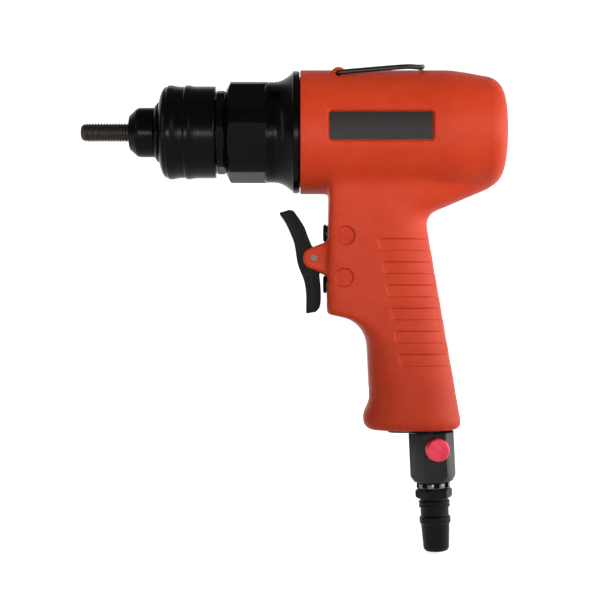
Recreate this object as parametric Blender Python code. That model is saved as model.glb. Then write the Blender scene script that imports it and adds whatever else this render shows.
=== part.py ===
"""Air-powered rivet nut setter, pistol form, in metres with +Z up.

The threaded mandrel points along -X and the handle hangs down. The origin is the middle of the
mandrel's tip face, on the axis of the spindle. Every station along the barrel is counted from there.
Turned pieces are drawn as (distance along the axis, radius) and spun about their own axis.
"""
import math

import bmesh
import bpy
from mathutils import Matrix, Vector

MM = 0.001

# Clearances
GAP = 0.3 * MM
GEAR_BACKLASH = 0.16 * MM

# Mandrel, an M8 cap screw driven through its socket
MANDREL_RADIUS = 4.0 * MM
MANDREL_REACH = 20.7 * MM
MANDREL_CHAMFER = 1.2 * MM
MANDREL_HEAD_RADIUS = 6.5 * MM
MANDREL_HEAD_LENGTH = 8.0 * MM
SOCKET_FLATS = 6.0 * MM
SOCKET_DEPTH = 5.0 * MM
DRIVE_CLEARANCE = 0.2 * MM

# Anvil with its lock nut
ANVIL_RADIUS = 10.65 * MM
ANVIL_FACE_RADIUS = 6.9 * MM
ANVIL_CONE_LENGTH = 4.6 * MM
ANVIL_CONE_SHARE = 0.84
ANVIL_DOME_LENGTH = 6.3 * MM
ANVIL_NOSE_LENGTH = 10.9 * MM
ANVIL_STEM_RADIUS = 9.0 * MM
ANVIL_STEM_LENGTH = 10.5 * MM
ANVIL_FLOOR = 14.2 * MM
FRONT_NUT_RADIUS = 12.9 * MM
FRONT_NUT_LENGTH = 1.7 * MM
FRONT_NUT_CHAMFER = 1.5 * MM
THRUST_WASHER_LENGTH = 1.0 * MM

# Nose sleeve
SLEEVE_LENGTH = 24.4 * MM
SLEEVE_MOUTH_RADIUS = 13.2 * MM
SLEEVE_CONE_LENGTH = 3.2 * MM
SLEEVE_BAND_RISE = 0.5 * MM
SLEEVE_BAND_LENGTH = 4.2 * MM
SLEEVE_FIRST_BAND = 4.2 * MM
SLEEVE_SECOND_BAND = 11.4 * MM
SLEEVE_THREAD_LENGTH = 9.6 * MM
SLEEVE_REAR_CHAMFER = 0.7 * MM
LOCK_RING_LENGTH = 3.4 * MM
LOCK_RING_FLAT_DEPTH = 0.7 * MM

# Gear case, with each radius counted in from the one behind it
SPIGOT_REACH = 15.8 * MM
CASE_BORE = 7.2 * MM
CASE_FLANGE_STEP = 0.3 * MM
CASE_BODY_STEP = 4.8 * MM
CASE_TO_SLEEVE_STEP = 2.0 * MM
SLEEVE_TO_RING_STEP = 1.8 * MM
RING_TO_SPIGOT_STEP = 4.0 * MM
CASE_CHAMFER = 1.9 * MM
CASE_FLAT_DEPTH = 1.4 * MM
CASE_FLAT_LENGTH = 17.2 * MM
CASE_FLAT_TURN = -17.0
CASE_BARREL_LENGTH = 21.6 * MM
CASE_FLARE_LENGTH = 6.9 * MM
CASE_FLARE_POWER = 1.6
CASE_FLANGE_LENGTH = 3.0 * MM
CASE_TAIL_LENGTH = 5.2 * MM
CASE_TAIL_WALL = 2.6 * MM
SPANNER_HOLE_RADIUS = 2.8 * MM
SPANNER_HOLE_DEPTH = 2.6 * MM
SPANNER_HOLE_TURN = 38.0
SPANNER_HOLE_SETBACK = 0.7 * MM

# Bearings
SPINDLE_RADIUS = 5.5 * MM
SPINDLE_BEARING_RADIUS = 11.0 * MM
SPINDLE_BEARING_LENGTH = 6.0 * MM
ROTOR_SHAFT_RADIUS = 4.0 * MM
ROTOR_BEARING_RADIUS = 8.0 * MM
ROTOR_BEARING_LENGTH = 5.0 * MM
BEARING_GROOVE_SHARE = 0.22
BEARING_GROOVE_DEPTH = 0.15

# Two planetary stages that share one ring gear
GEAR_MODULE = 0.65 * MM
SUN_TEETH = 12
PLANET_TEETH = 15
RING_TEETH = SUN_TEETH + 2 * PLANET_TEETH
PLANET_COUNT = 3
PRESSURE_ANGLE = math.radians(25.0)
GEAR_ADDENDUM = 0.8
GEAR_DEDENDUM = 1.05
PLANET_LENGTH = 6.5 * MM
PLANET_PIN_RADIUS = 1.5 * MM
RING_WALL = 1.6 * MM
OUTPUT_CARRIER_LENGTH = 3.0 * MM
INPUT_CARRIER_LENGTH = 2.5 * MM
CARRIER_RIM = 2.2 * MM

# Vane motor
MOTOR_WALL = 4.0 * MM
MOTOR_OFFSET = 1.8 * MM
ROTOR_ROOM = 2.2 * MM
MOTOR_PLATE_LENGTH = 7.0 * MM
MOTOR_PORTS = 4
MOTOR_PORT_RADIUS = 2.2 * MM
VANE_COUNT = 5
VANE_THICKNESS = 2.2 * MM
VANE_DEPTH_SHARE = 0.45

# Barrel of the housing
HOUSING_LENGTH = 87.2 * MM
BARREL_RADIUS = 26.5 * MM
BARREL_WALL = 5.4 * MM
BARREL_END_WALL = 12.3 * MM
BARREL_TAPER_START = 24.7 * MM
BARREL_TAPER_DROP = 2.4 * MM
BARREL_END_ROUND = 9.0 * MM
BARREL_MOUTH_WALL = 2.5 * MM
BARREL_MOUTH_EDGE = 0.8 * MM
BARREL_TAPER_POWER = 1.4

# Handle of the housing
HANDLE_RAKE = math.radians(9.9)
HANDLE_BOTTOM = -127.5 * MM
HANDLE_WIDTH = 31.0 * MM
HANDLE_FRONT_SETBACK = 27.9 * MM
HANDLE_FRONT_SLOPE = 0.046
HANDLE_BOTTOM_ROUND = 3.8 * MM
HANDLE_MIDDLE = 18.0 * MM
FOOT_FLARE = 3.0 * MM
FOOT_SIDE_FLARE = 1.2 * MM
FOOT_HEIGHT = 8.5 * MM
FOOT_BASE = 5.5 * MM
BLOCK_SETBACK = 11.5 * MM
BLOCK_BOTTOM = -78.0 * MM
BLOCK_SHELF = math.radians(12.5)
BLOCK_SHELF_ROUND = 12.5 * MM
BLOCK_LEAN = 0.025
BARREL_FILLET = 10.0 * MM
SADDLE_SETBACK = 54.4 * MM
SADDLE_HEIGHT = -40.9 * MM
SADDLE_ROUND = 6.5 * MM
WEB_SLOPE = math.radians(23.0)
WEB_END = 5.6 * MM
BLOCK_SQUARENESS = 7.0
HANDLE_SQUARENESS = 2.7
REAR_SQUARENESS = 2.3
SECTION_POINTS = 20

# Grip pads sunk into the sides and the back of the handle
PAD_COUNT = 6
PAD_TOP = -46.6 * MM
PAD_PITCH = 9.75 * MM
PAD_HEIGHT = 5.0 * MM
PAD_DEPTH = 0.7 * MM
PAD_BACK_DEPTH = 0.2 * MM
PAD_REACH = 22.5 * MM
PAD_END_SHARE = 0.03
PAD_END_HEIGHT = 0.55
PAD_STEPS = 3

# Name plate, bare
PLATE_START = 12.2 * MM
PLATE_LENGTH = 42.3 * MM
PLATE_WIDTH = 11.8 * MM
PLATE_MARGIN = 1.0 * MM
PLATE_THICKNESS = 0.5 * MM
PLATE_SINK = 0.2 * MM

# Trigger and the two ears that carry it
TRIGGER_PIN_AHEAD = 5.8 * MM
TRIGGER_PIN_HEIGHT = -54.3 * MM
TRIGGER_PIN_RADIUS = 1.45 * MM
TRIGGER_PIN_PROUD = 0.3 * MM
TRIGGER_WIDTH = 14.0 * MM
TRIGGER_HUB_WALL = 1.7 * MM
TRIGGER_EDGE = 0.9 * MM
HUB_STEPS = 4
EAR_THICKNESS = 4.0 * MM
EAR_NOSE_RADIUS = 4.7 * MM
EAR_NOSE_STEPS = 8
EAR_ROOT_HEIGHT = 16.8 * MM
EAR_ROOT_DEPTH = 3.0 * MM
EAR_SIDE_CLEARANCE = 0.4 * MM


# Outline of the trigger in mm about its pin: X to the rear, Z up
TRIGGER_FRONT = (
    (-14.7, 19.4),
    (-11.9, 15.2),
    (-9.9, 10.9),
    (-8.2, 6.2),
    (-7.0, -1.2),
    (-5.7, -5.2),
    (-4.1, -9.3),
    (-3.2, -14.9),
    (-3.2, -23.5),
)
TRIGGER_FOOT = ((0.9, -22.8), (2.5, -20.9), (3.05, -17.9), (3.0, -12.6), (2.5, -7.5))
TRIGGER_CURL = (
    (-0.9, 5.6),
    (-2.5, 9.6),
    (-3.9, 13.3),
    (-5.7, 16.3),
    (-7.3, 18.6),
    (-8.6, 20.2),
    (-10.4, 20.7),
)

# Valves behind the trigger
VALVE_SPREAD = 11.0 * MM
PLUNGER_RADIUS = 3.8 * MM
PLUNGER_PROUD = 1.7 * MM
PLUNGER_HEAD_LENGTH = 8.2 * MM
PLUNGER_STEM_RADIUS = 2.2 * MM
PLUNGER_STEM_LENGTH = 7.5 * MM
PLUNGER_PISTON_LENGTH = 3.5 * MM
VALVE_BUSH_LENGTH = 11.0 * MM
VALVE_BUSH_WALL = 1.7 * MM
SPRING_RADIUS = 3.0 * MM
SPRING_WIRE = 0.45 * MM
SPRING_LENGTH = 9.5 * MM
SPRING_TURNS = 4
AIR_PASSAGE_RADIUS = 3.2 * MM
EXHAUST_PASSAGE_RADIUS = 3.0 * MM
EXHAUST_PASSAGE_SIDE = 9.0 * MM

# Silencer and exhaust cover under the handle
SILENCER_START = 37.8 * MM
SILENCER_LENGTH = 10.4 * MM
SILENCER_WIDTH = 18.0 * MM
SILENCER_HEIGHT = 20.0 * MM
COVER_START = 37.3 * MM
COVER_END = 65.5 * MM
COVER_WIDTH = 20.0 * MM
COVER_THICKNESS = 0.9 * MM
COVER_CORNER = 5.0 * MM
COVER_SLOTS = 3
COVER_SLOT_WIDTH = 0.9 * MM
COVER_SLOT_LENGTH = 11.0 * MM

# Air inlet under the handle
INLET_SETBACK = 56.2 * MM
INLET_LEAN = math.radians(2.6)
INLET_TURN = math.radians(7.3)
INLET_FLATS = 17.0 * MM
INLET_HEX_START = 2.1 * MM
INLET_END = 22.3 * MM
INLET_END_RADIUS = 8.2 * MM
INLET_CHAMFER = 3.4 * MM
INLET_STEM_RADIUS = 6.7 * MM
INLET_STEM_LENGTH = 12.0 * MM
INLET_BORE = 4.0 * MM
PLUG_THREAD_RADIUS = 5.25 * MM
PLUG_THREAD_LENGTH = 9.2 * MM
SPOOL_RADIUS = 4.95 * MM
SPOOL_DROP = 7.9 * MM
SPOOL_PROUD = 4.6 * MM
SPOOL_WAIST = 2.8 * MM
SPOOL_WAIST_LENGTH = 6.0 * MM
SEAL_RADIUS = 0.75 * MM
SEAL_SQUEEZE_CLEARANCE = 0.12 * MM

# Air plug
SWIVEL_RING_LENGTH = 2.5 * MM
SWIVEL_RING_RADIUS = 7.3 * MM
PLUG_FLATS = 14.0 * MM
PLUG_HEX_LENGTH = 3.9 * MM
PLUG_NECK_LENGTH = 1.0 * MM
PLUG_NECK_RADIUS = 6.0 * MM
PLUG_COLLAR_LENGTH = 3.2 * MM
PLUG_COLLAR_RADIUS = 6.65 * MM
PLUG_GROOVE_LENGTH = 3.8 * MM
PLUG_GROOVE_RADIUS = 6.0 * MM
PLUG_NOSE_LENGTH = 11.8 * MM
PLUG_NOSE_RADIUS = 5.5 * MM
PLUG_TIP_ROUND = 1.4 * MM
PLUG_BORE = 2.8 * MM
PLUG_EDGE = 0.4 * MM

# Hanger bail on top of the barrel
BAIL_SETBACK = 16.2 * MM
BAIL_DROP = 3.1 * MM
BAIL_WIRE = 1.05 * MM
BAIL_LENGTH = 35.9 * MM
BAIL_BOSS_RADIUS = 3.15 * MM
BAIL_SHOULDER_RISE = 2.5 * MM
BAIL_PIN_DEPTH = 3.4 * MM

# Facets around a full turn
FINE = 24
MEDIUM = 18
SMALL = 12
DRILLED = 9
INLET_FACETS = 16
SPOOL_BORE_FACETS = 24
PIN_FACETS = 8
SPRING_FACETS = 6
SPRING_WIRE_FACETS = 4
BAIL_WIRE_FACETS = 6

# Steps along curved profiles
FLARE_STEPS = 3
END_ROUND_STEPS = 5
CORNER_STEPS = 3
PANEL_STEPS = 6
RIM_STEPS = 4

# Radii and lengths that follow from the barrel's
CASE_FLANGE_RADIUS = BARREL_RADIUS - CASE_FLANGE_STEP
CASE_RADIUS = BARREL_RADIUS - CASE_BODY_STEP
CASE_FLATS = CASE_RADIUS - CASE_FLAT_DEPTH
SLEEVE_RADIUS = CASE_RADIUS - CASE_TO_SLEEVE_STEP
LOCK_RING_RADIUS = SLEEVE_RADIUS - SLEEVE_TO_RING_STEP
LOCK_RING_FLATS = LOCK_RING_RADIUS - LOCK_RING_FLAT_DEPTH
SPIGOT_RADIUS = LOCK_RING_RADIUS - RING_TO_SPIGOT_STEP
MOTOR_RADIUS = BARREL_RADIUS - BARREL_WALL - GAP
MOTOR_BORE = MOTOR_RADIUS - MOTOR_WALL
ROTOR_RADIUS = MOTOR_BORE - ROTOR_ROOM
VANE_DEPTH = VANE_DEPTH_SHARE * ROTOR_RADIUS
MOTOR_LENGTH = HOUSING_LENGTH - BARREL_END_WALL - 2 * MOTOR_PLATE_LENGTH - 3 * GAP
BARREL_REAR_RADIUS = BARREL_RADIUS - BARREL_TAPER_DROP
BARREL_STRAIGHT = HOUSING_LENGTH - BARREL_TAPER_START
BAIL_HEIGHT = BARREL_RADIUS - BAIL_DROP

# Stations along the barrel, each from the one before it
ANVIL_FACE_X = MANDREL_REACH
ANVIL_SHOULDER_X = ANVIL_FACE_X + ANVIL_NOSE_LENGTH
ANVIL_END_X = ANVIL_SHOULDER_X + ANVIL_STEM_LENGTH
FRONT_NUT_X = ANVIL_SHOULDER_X + GAP
SLEEVE_X = FRONT_NUT_X + FRONT_NUT_LENGTH + GAP
SLEEVE_END_X = SLEEVE_X + SLEEVE_LENGTH
LOCK_RING_X = SLEEVE_END_X + GAP
CASE_X = LOCK_RING_X + LOCK_RING_LENGTH + GAP
CASE_FLARE_X = CASE_X + CASE_BARREL_LENGTH
CASE_END_X = CASE_FLARE_X + CASE_FLARE_LENGTH + CASE_FLANGE_LENGTH
SPINDLE_BEARING_X = CASE_X + CASE_CHAMFER + GAP
GEAR_ROOM_X = SPINDLE_BEARING_X + SPINDLE_BEARING_LENGTH + GAP
OUTPUT_CARRIER_X = GEAR_ROOM_X + GAP
OUTPUT_GEARS_X = OUTPUT_CARRIER_X + OUTPUT_CARRIER_LENGTH + GAP
INPUT_CARRIER_X = OUTPUT_GEARS_X + PLANET_LENGTH + GAP
INPUT_GEARS_X = INPUT_CARRIER_X + INPUT_CARRIER_LENGTH + GAP
HOUSING_X = CASE_END_X + GAP
MOTOR_PLATE_X = HOUSING_X
MOTOR_X = MOTOR_PLATE_X + MOTOR_PLATE_LENGTH + GAP
REAR_PLATE_X = MOTOR_X + MOTOR_LENGTH + GAP
CAVITY_END_X = REAR_PLATE_X + MOTOR_PLATE_LENGTH + GAP
HOUSING_END_X = HOUSING_X + HOUSING_LENGTH

# Gear radii
SUN_PITCH = GEAR_MODULE * SUN_TEETH / 2
PLANET_PITCH = GEAR_MODULE * PLANET_TEETH / 2
RING_PITCH = GEAR_MODULE * RING_TEETH / 2
PLANET_ORBIT = SUN_PITCH + PLANET_PITCH
RING_OUTER = RING_PITCH + GEAR_DEDENDUM * GEAR_MODULE + RING_WALL
CARRIER_RADIUS = PLANET_ORBIT + PLANET_PIN_RADIUS + CARRIER_RIM

# Places on the handle
TRIGGER_PIN_X = HOUSING_X + BLOCK_SETBACK - TRIGGER_PIN_AHEAD
EAR_INNER = TRIGGER_WIDTH / 2 + EAR_SIDE_CLEARANCE
EAR_OUTER = EAR_INNER + EAR_THICKNESS
BLOCK_X = HOUSING_X + BLOCK_SETBACK
PLUNGER_X = BLOCK_X - PLUNGER_PROUD
PISTON_END_X = PLUNGER_X + PLUNGER_HEAD_LENGTH + PLUNGER_STEM_LENGTH + PLUNGER_PISTON_LENGTH
SPRING_X = PISTON_END_X + GAP
VALVE_BORE_END_X = SPRING_X + SPRING_LENGTH + GAP
UPPER_VALVE_Z = TRIGGER_PIN_HEIGHT + VALVE_SPREAD
LOWER_VALVE_Z = TRIGGER_PIN_HEIGHT - VALVE_SPREAD
VALVE_BUSH_RADIUS = PLUNGER_RADIUS + GAP + VALVE_BUSH_WALL
BAIL_X = HOUSING_X + BAIL_SETBACK
BAIL_SIDE = math.sqrt((BARREL_RADIUS + BAIL_WIRE + GAP) ** 2 - BAIL_HEIGHT**2)
BAIL_BOSS_SIDE = BAIL_SIDE - BAIL_WIRE - 1.5 * GAP

ALONG_BARREL = Matrix.Rotation(math.radians(90), 4, "Y")
INLET_FRAME = (
    Matrix.Translation((HOUSING_X + INLET_SETBACK, 0, HANDLE_BOTTOM))
    @ Matrix.Rotation(-INLET_LEAN, 4, "Y")
    @ Matrix.Rotation(INLET_TURN, 4, "Z")
)
SPOOL_FRAME = (
    INLET_FRAME
    @ Matrix.Translation((0, 0, -SPOOL_DROP))
    @ Matrix.Rotation(math.radians(-90), 4, "X")
)


def clear_scene():
    for thing in list(bpy.data.objects):
        bpy.data.objects.remove(thing, do_unlink=True)


def linear(channel):
    """One 0-255 colour channel as the linear value that a shader takes."""
    share = channel / 255
    return share / 12.92 if share <= 0.04045 else ((share + 0.055) / 1.055) ** 2.4


def material(name, colour, roughness, metallic=0.0):
    """A Principled material, made once and then shared."""
    made = bpy.data.materials.get(name)
    if made is None:
        made = bpy.data.materials.new(name)
        made.use_nodes = True
        shader = made.node_tree.nodes["Principled BSDF"]
        shader.inputs["Base Color"].default_value = (*(linear(c) for c in colour), 1)
        shader.inputs["Roughness"].default_value = roughness
        shader.inputs["Metallic"].default_value = metallic
        made.diffuse_color = shader.inputs["Base Color"].default_value
    return made


def orange_plastic():
    return material("orange_moulding", (216, 74, 44), 0.5)


def black_steel():
    return material("blackened_steel", (62, 64, 62), 0.35, 1.0)


def dark_steel():
    return material("dark_plated_steel", (84, 86, 84), 0.3, 1.0)


def bright_steel():
    return material("bright_steel", (190, 192, 194), 0.25, 1.0)


def black_plastic():
    return material("black_moulding", (28, 28, 29), 0.45)


def plate_grey():
    return material("plate_grey", (60, 58, 58), 0.4)


def red_anodised():
    return material("red_anodised", (200, 24, 32), 0.25, 0.9)


def bronze():
    return material("bearing_bronze", (176, 138, 84), 0.35, 1.0)


def composite():
    return material("vane_composite", (96, 70, 44), 0.6)


def rubber():
    return material("seal_rubber", (24, 24, 24), 0.7)


def felt():
    return material("silencer_felt", (190, 186, 172), 0.95)


def finish(name, mesh, skin, place=None, sharp=35.0):
    """Turns a bmesh into a named object with its material and its place in the world."""
    bmesh.ops.recalc_face_normals(mesh, faces=mesh.faces)
    data = bpy.data.meshes.new(name)
    mesh.to_mesh(data)
    mesh.free()
    data.shade_smooth()
    data.set_sharp_from_angle(angle=math.radians(sharp))
    if skin is not None:
        data.materials.append(skin)
    thing = bpy.data.objects.new(name, data)
    bpy.context.collection.objects.link(thing)
    if place is not None:
        thing.matrix_world = place
    return thing


def spin_profile(mesh, profile, segments, ring):
    """Spins (distance, radius) points about the local Z axis. A ring's outline closes on itself."""
    points = [mesh.verts.new((radius, 0, along)) for along, radius in profile]
    edges = [mesh.edges.new(pair) for pair in zip(points, points[1:])]
    if ring:
        edges.append(mesh.edges.new((points[-1], points[0])))
    bmesh.ops.spin(
        mesh,
        geom=points + edges,
        cent=(0, 0, 0),
        axis=(0, 0, 1),
        angle=2 * math.pi,
        steps=segments,
        use_merge=True,
    )
    bmesh.ops.remove_doubles(mesh, verts=mesh.verts, dist=1e-7)


def turned(name, profile, skin=None, place=ALONG_BARREL, segments=MEDIUM, ring=False):
    mesh = bmesh.new()
    spin_profile(mesh, profile, segments, ring)
    return finish(name, mesh, skin, place)


def ring_between(name, start, end, inner, outer, skin=None, place=ALONG_BARREL, segments=MEDIUM):
    """A plain ring with a square section."""
    outline = [(start, outer), (end, outer), (end, inner), (start, inner)]
    return turned(name, outline, skin, place, segments, ring=True)


def rod(name, start, end, radius, skin=None, place=ALONG_BARREL, segments=SMALL):
    return turned(name, [(start, 0), (start, radius), (end, radius), (end, 0)], skin, place, segments)


def extruded_mesh(outline, low, high, holes=()):
    """A flat outline in local X and Y, with holes, pushed from low to high along local Z."""
    mesh = bmesh.new()
    edges = []
    for loop in (outline, *holes):
        corners = [mesh.verts.new((x, y, low)) for x, y in loop]
        edges += [mesh.edges.new(pair) for pair in zip(corners, corners[1:] + corners[:1])]
    bmesh.ops.triangle_fill(mesh, edges=edges, use_beauty=True)
    grown = bmesh.ops.extrude_face_region(mesh, geom=mesh.faces[:])
    raised = [part for part in grown["geom"] if isinstance(part, bmesh.types.BMVert)]
    bmesh.ops.translate(mesh, verts=raised, vec=(0, 0, high - low))
    return mesh


def extruded(name, outline, low, high, skin=None, place=ALONG_BARREL, holes=()):
    return finish(name, extruded_mesh(outline, low, high, holes), skin, place)


def regular(sides, radius, turn=0.0):
    """Corners of a regular polygon. The turn is in radians."""
    return [
        (radius * math.cos(turn + 2 * math.pi * k / sides), radius * math.sin(turn + 2 * math.pi * k / sides))
        for k in range(sides)
    ]


def hexagon(flats, turn=0.0):
    """A hexagon by its width across flats, with a flat facing local -Y before it is turned."""
    return regular(6, flats / math.sqrt(3), turn)


def arc(centre, radius, start, end, steps):
    """Points on an arc between two angles in degrees."""
    angles = [math.radians(start + (end - start) * k / steps) for k in range(steps + 1)]
    return [(centre[0] + radius * math.cos(a), centre[1] + radius * math.sin(a)) for a in angles]


def cutter(thing):
    """A helper shape that only shows as wires and isn't a piece."""
    thing.hide_render = True
    thing.display_type = "WIRE"
    return thing


def combine(body, tool, operation):
    step = body.modifiers.new(f"{operation.lower()}_{tool.name}", "BOOLEAN")
    step.operation = operation
    step.object = cutter(tool)
    return body


def cut(body, tool):
    return combine(body, tool, "DIFFERENCE")


def join(body, tool):
    return combine(body, tool, "UNION")


def between(start, end):
    """The place whose local Z runs from one point towards another, and the distance."""
    run = Vector(end) - Vector(start)
    place = Matrix.Translation(start) @ run.to_track_quat("Z", "Y").to_matrix().to_4x4()
    return place, run.length


def drilling(name, start, end, radius, segments=DRILLED):
    place, length = between(start, end)
    return rod(name, 0, length, radius, place=place, segments=segments)


def smooth_run(points, steps):
    """Catmull-Rom points through the given ones, so that a short list makes a smooth line."""
    padded = [Vector(point) for point in (points[0], *points, points[-1])]
    line = []
    for before, start, end, after in zip(padded, padded[1:], padded[2:], padded[3:]):
        slope = 0.5 * (end - before)
        next_slope = 0.5 * (after - start)
        for k in range(steps):
            t = k / steps
            bend = 3 * (end - start) - 2 * slope - next_slope
            twist = slope + next_slope - 2 * (end - start)
            line.append(tuple(start + t * slope + t**2 * bend + t**3 * twist))
    line.append(tuple(points[-1]))
    return line


def tube(name, points, radius, sides, skin, place=None):
    """A round wire along points, with its ends closed."""
    path = [Vector(point) for point in points]
    mesh = bmesh.new()
    rings = []
    side = None
    for index, point in enumerate(path):
        ahead = path[min(index + 1, len(path) - 1)] - path[max(index - 1, 0)]
        ahead.normalize()
        if side is None:
            side = ahead.orthogonal().normalized()
        side = (side - ahead * side.dot(ahead)).normalized()
        other = ahead.cross(side)
        rings.append(
            [
                mesh.verts.new(point + radius * (math.cos(a) * side + math.sin(a) * other))
                for a in (2 * math.pi * k / sides for k in range(sides))
            ]
        )
    for near, far in zip(rings, rings[1:]):
        for k in range(sides):
            mesh.faces.new((near[k], near[(k + 1) % sides], far[(k + 1) % sides], far[k]))
    mesh.faces.new(rings[0])
    mesh.faces.new(rings[-1])
    return finish(name, mesh, skin, place)


def half_tooth_angle(radius, pitch, teeth, thinner):
    """Half the angle that an involute tooth fills at a radius, thinner by the backlash."""
    base = pitch * math.cos(PRESSURE_ANGLE)
    roll = math.acos(min(1.0, base / max(radius, base)))
    at_pitch = math.pi / (2 * teeth) - thinner / (2 * pitch)
    return at_pitch + (math.tan(PRESSURE_ANGLE) - PRESSURE_ANGLE) - (math.tan(roll) - roll)


def toothed_outline(teeth, inside=False):
    """Involute half angles at the root and the tip of each flank. Inside teeth are a ring gear's spaces."""
    pitch = GEAR_MODULE * teeth / 2
    near, far = (GEAR_ADDENDUM, GEAR_DEDENDUM) if inside else (GEAR_DEDENDUM, GEAR_ADDENDUM)
    radii = (pitch - near * GEAR_MODULE, pitch + far * GEAR_MODULE)
    thinner = (-GEAR_BACKLASH if inside else GEAR_BACKLASH) / 2
    outline = []
    for tooth in range(teeth):
        middle = 2 * math.pi * tooth / teeth
        rising = [(radius, middle - half_tooth_angle(radius, pitch, teeth, thinner)) for radius in radii]
        falling = [(radius, 2 * middle - angle) for radius, angle in reversed(rising)]
        outline += [(r * math.cos(angle), r * math.sin(angle)) for r, angle in rising + falling]
    return outline


def make_mandrel():
    head = ANVIL_FACE_X + ANVIL_FLOOR + GAP + THRUST_WASHER_LENGTH + GAP
    end = head + MANDREL_HEAD_LENGTH
    tip = MANDREL_RADIUS - MANDREL_CHAMFER
    profile = [
        (0, 0),
        (0, tip),
        (MANDREL_CHAMFER, MANDREL_RADIUS),
        (head, MANDREL_RADIUS),
        (head, MANDREL_HEAD_RADIUS),
        (end, MANDREL_HEAD_RADIUS),
        (end, 0),
    ]
    mandrel = turned("mandrel", profile, dark_steel(), segments=MEDIUM)
    socket = extruded("mandrel_socket_cut", hexagon(SOCKET_FLATS), end - SOCKET_DEPTH, end + MM)
    cut(mandrel, socket)
    return end


def make_drive_bit(mandrel_end):
    bit_flats = SOCKET_FLATS - 2 * DRIVE_CLEARANCE
    start = mandrel_end - SOCKET_DEPTH + GAP
    end = SPINDLE_BEARING_X + GAP
    extruded("drive_bit", hexagon(bit_flats), start, end, bright_steel())
    return end + GAP


def make_thrust_washer():
    start = ANVIL_FACE_X + ANVIL_FLOOR + GAP
    inner = MANDREL_RADIUS + GAP
    ring_between("thrust_washer", start, start + THRUST_WASHER_LENGTH, inner, MANDREL_HEAD_RADIUS, bronze())


def make_anvil():
    bore = MANDREL_RADIUS + GAP
    pocket = MANDREL_HEAD_RADIUS + GAP
    cone_radius = ANVIL_FACE_RADIUS + ANVIL_CONE_SHARE * (ANVIL_RADIUS - ANVIL_FACE_RADIUS)
    profile = [
        (ANVIL_FACE_X, ANVIL_FACE_RADIUS),
        (ANVIL_FACE_X + ANVIL_CONE_LENGTH, cone_radius),
        (ANVIL_FACE_X + ANVIL_DOME_LENGTH, ANVIL_RADIUS),
        (ANVIL_SHOULDER_X, ANVIL_RADIUS),
        (ANVIL_SHOULDER_X, ANVIL_STEM_RADIUS),
        (ANVIL_END_X, ANVIL_STEM_RADIUS),
        (ANVIL_END_X, pocket),
        (ANVIL_FACE_X + ANVIL_FLOOR, pocket),
        (ANVIL_FACE_X + ANVIL_FLOOR, bore),
        (ANVIL_FACE_X, bore),
    ]
    turned("anvil", profile, black_steel(), segments=MEDIUM, ring=True)
    nut_end = FRONT_NUT_X + FRONT_NUT_LENGTH
    nut = [
        (FRONT_NUT_X, FRONT_NUT_RADIUS - FRONT_NUT_CHAMFER),
        (FRONT_NUT_X + FRONT_NUT_CHAMFER, FRONT_NUT_RADIUS),
        (nut_end, FRONT_NUT_RADIUS),
        (nut_end, ANVIL_STEM_RADIUS + GAP),
        (FRONT_NUT_X, ANVIL_STEM_RADIUS + GAP),
    ]
    turned("anvil_lock_nut", nut, black_steel(), segments=MEDIUM, ring=True)


def band(start):
    """A raised band around the sleeve, with short ramps."""
    ramp = SLEEVE_BAND_RISE
    top = SLEEVE_RADIUS + SLEEVE_BAND_RISE
    end = start + SLEEVE_BAND_LENGTH
    return [(start, SLEEVE_RADIUS), (start + ramp, top), (end - ramp, top), (end, SLEEVE_RADIUS)]


def make_nose_sleeve():
    shoulder = SLEEVE_MOUTH_RADIUS + 0.84 * (SLEEVE_RADIUS - SLEEVE_MOUTH_RADIUS)
    bore = ANVIL_STEM_RADIUS + GAP
    room = SPIGOT_RADIUS + GAP
    profile = [
        (SLEEVE_X, SLEEVE_MOUTH_RADIUS),
        (SLEEVE_X + 0.62 * SLEEVE_CONE_LENGTH, shoulder),
        (SLEEVE_X + SLEEVE_CONE_LENGTH, SLEEVE_RADIUS),
        *band(SLEEVE_X + SLEEVE_FIRST_BAND),
        *band(SLEEVE_X + SLEEVE_SECOND_BAND),
        (SLEEVE_END_X - SLEEVE_REAR_CHAMFER, SLEEVE_RADIUS),
        (SLEEVE_END_X, SLEEVE_RADIUS - SLEEVE_REAR_CHAMFER),
        (SLEEVE_END_X, room),
        (SLEEVE_X + SLEEVE_THREAD_LENGTH, room),
        (SLEEVE_X + SLEEVE_THREAD_LENGTH, bore),
        (SLEEVE_X, bore),
    ]
    turned("nose_sleeve", profile, black_steel(), segments=FINE, ring=True)


def make_lock_ring():
    end = LOCK_RING_X + LOCK_RING_LENGTH
    ring = ring_between(
        "lock_ring", LOCK_RING_X, end, SPIGOT_RADIUS + GAP, LOCK_RING_RADIUS, black_steel(), segments=FINE
    )
    flats = flats_cutter("lock_ring_flats_cut", LOCK_RING_X - MM, end + MM, LOCK_RING_FLATS, LOCK_RING_RADIUS)
    cut(ring, flats)


def flats_cutter(name, start, end, apothem, radius):
    """What is milled away outside six flats."""
    turn = math.radians(CASE_FLAT_TURN)
    inside = [(-x, y) for x, y in hexagon(2 * apothem, turn)]
    return extruded(name, regular(24, 1.3 * radius), start, end, holes=[inside])


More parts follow.
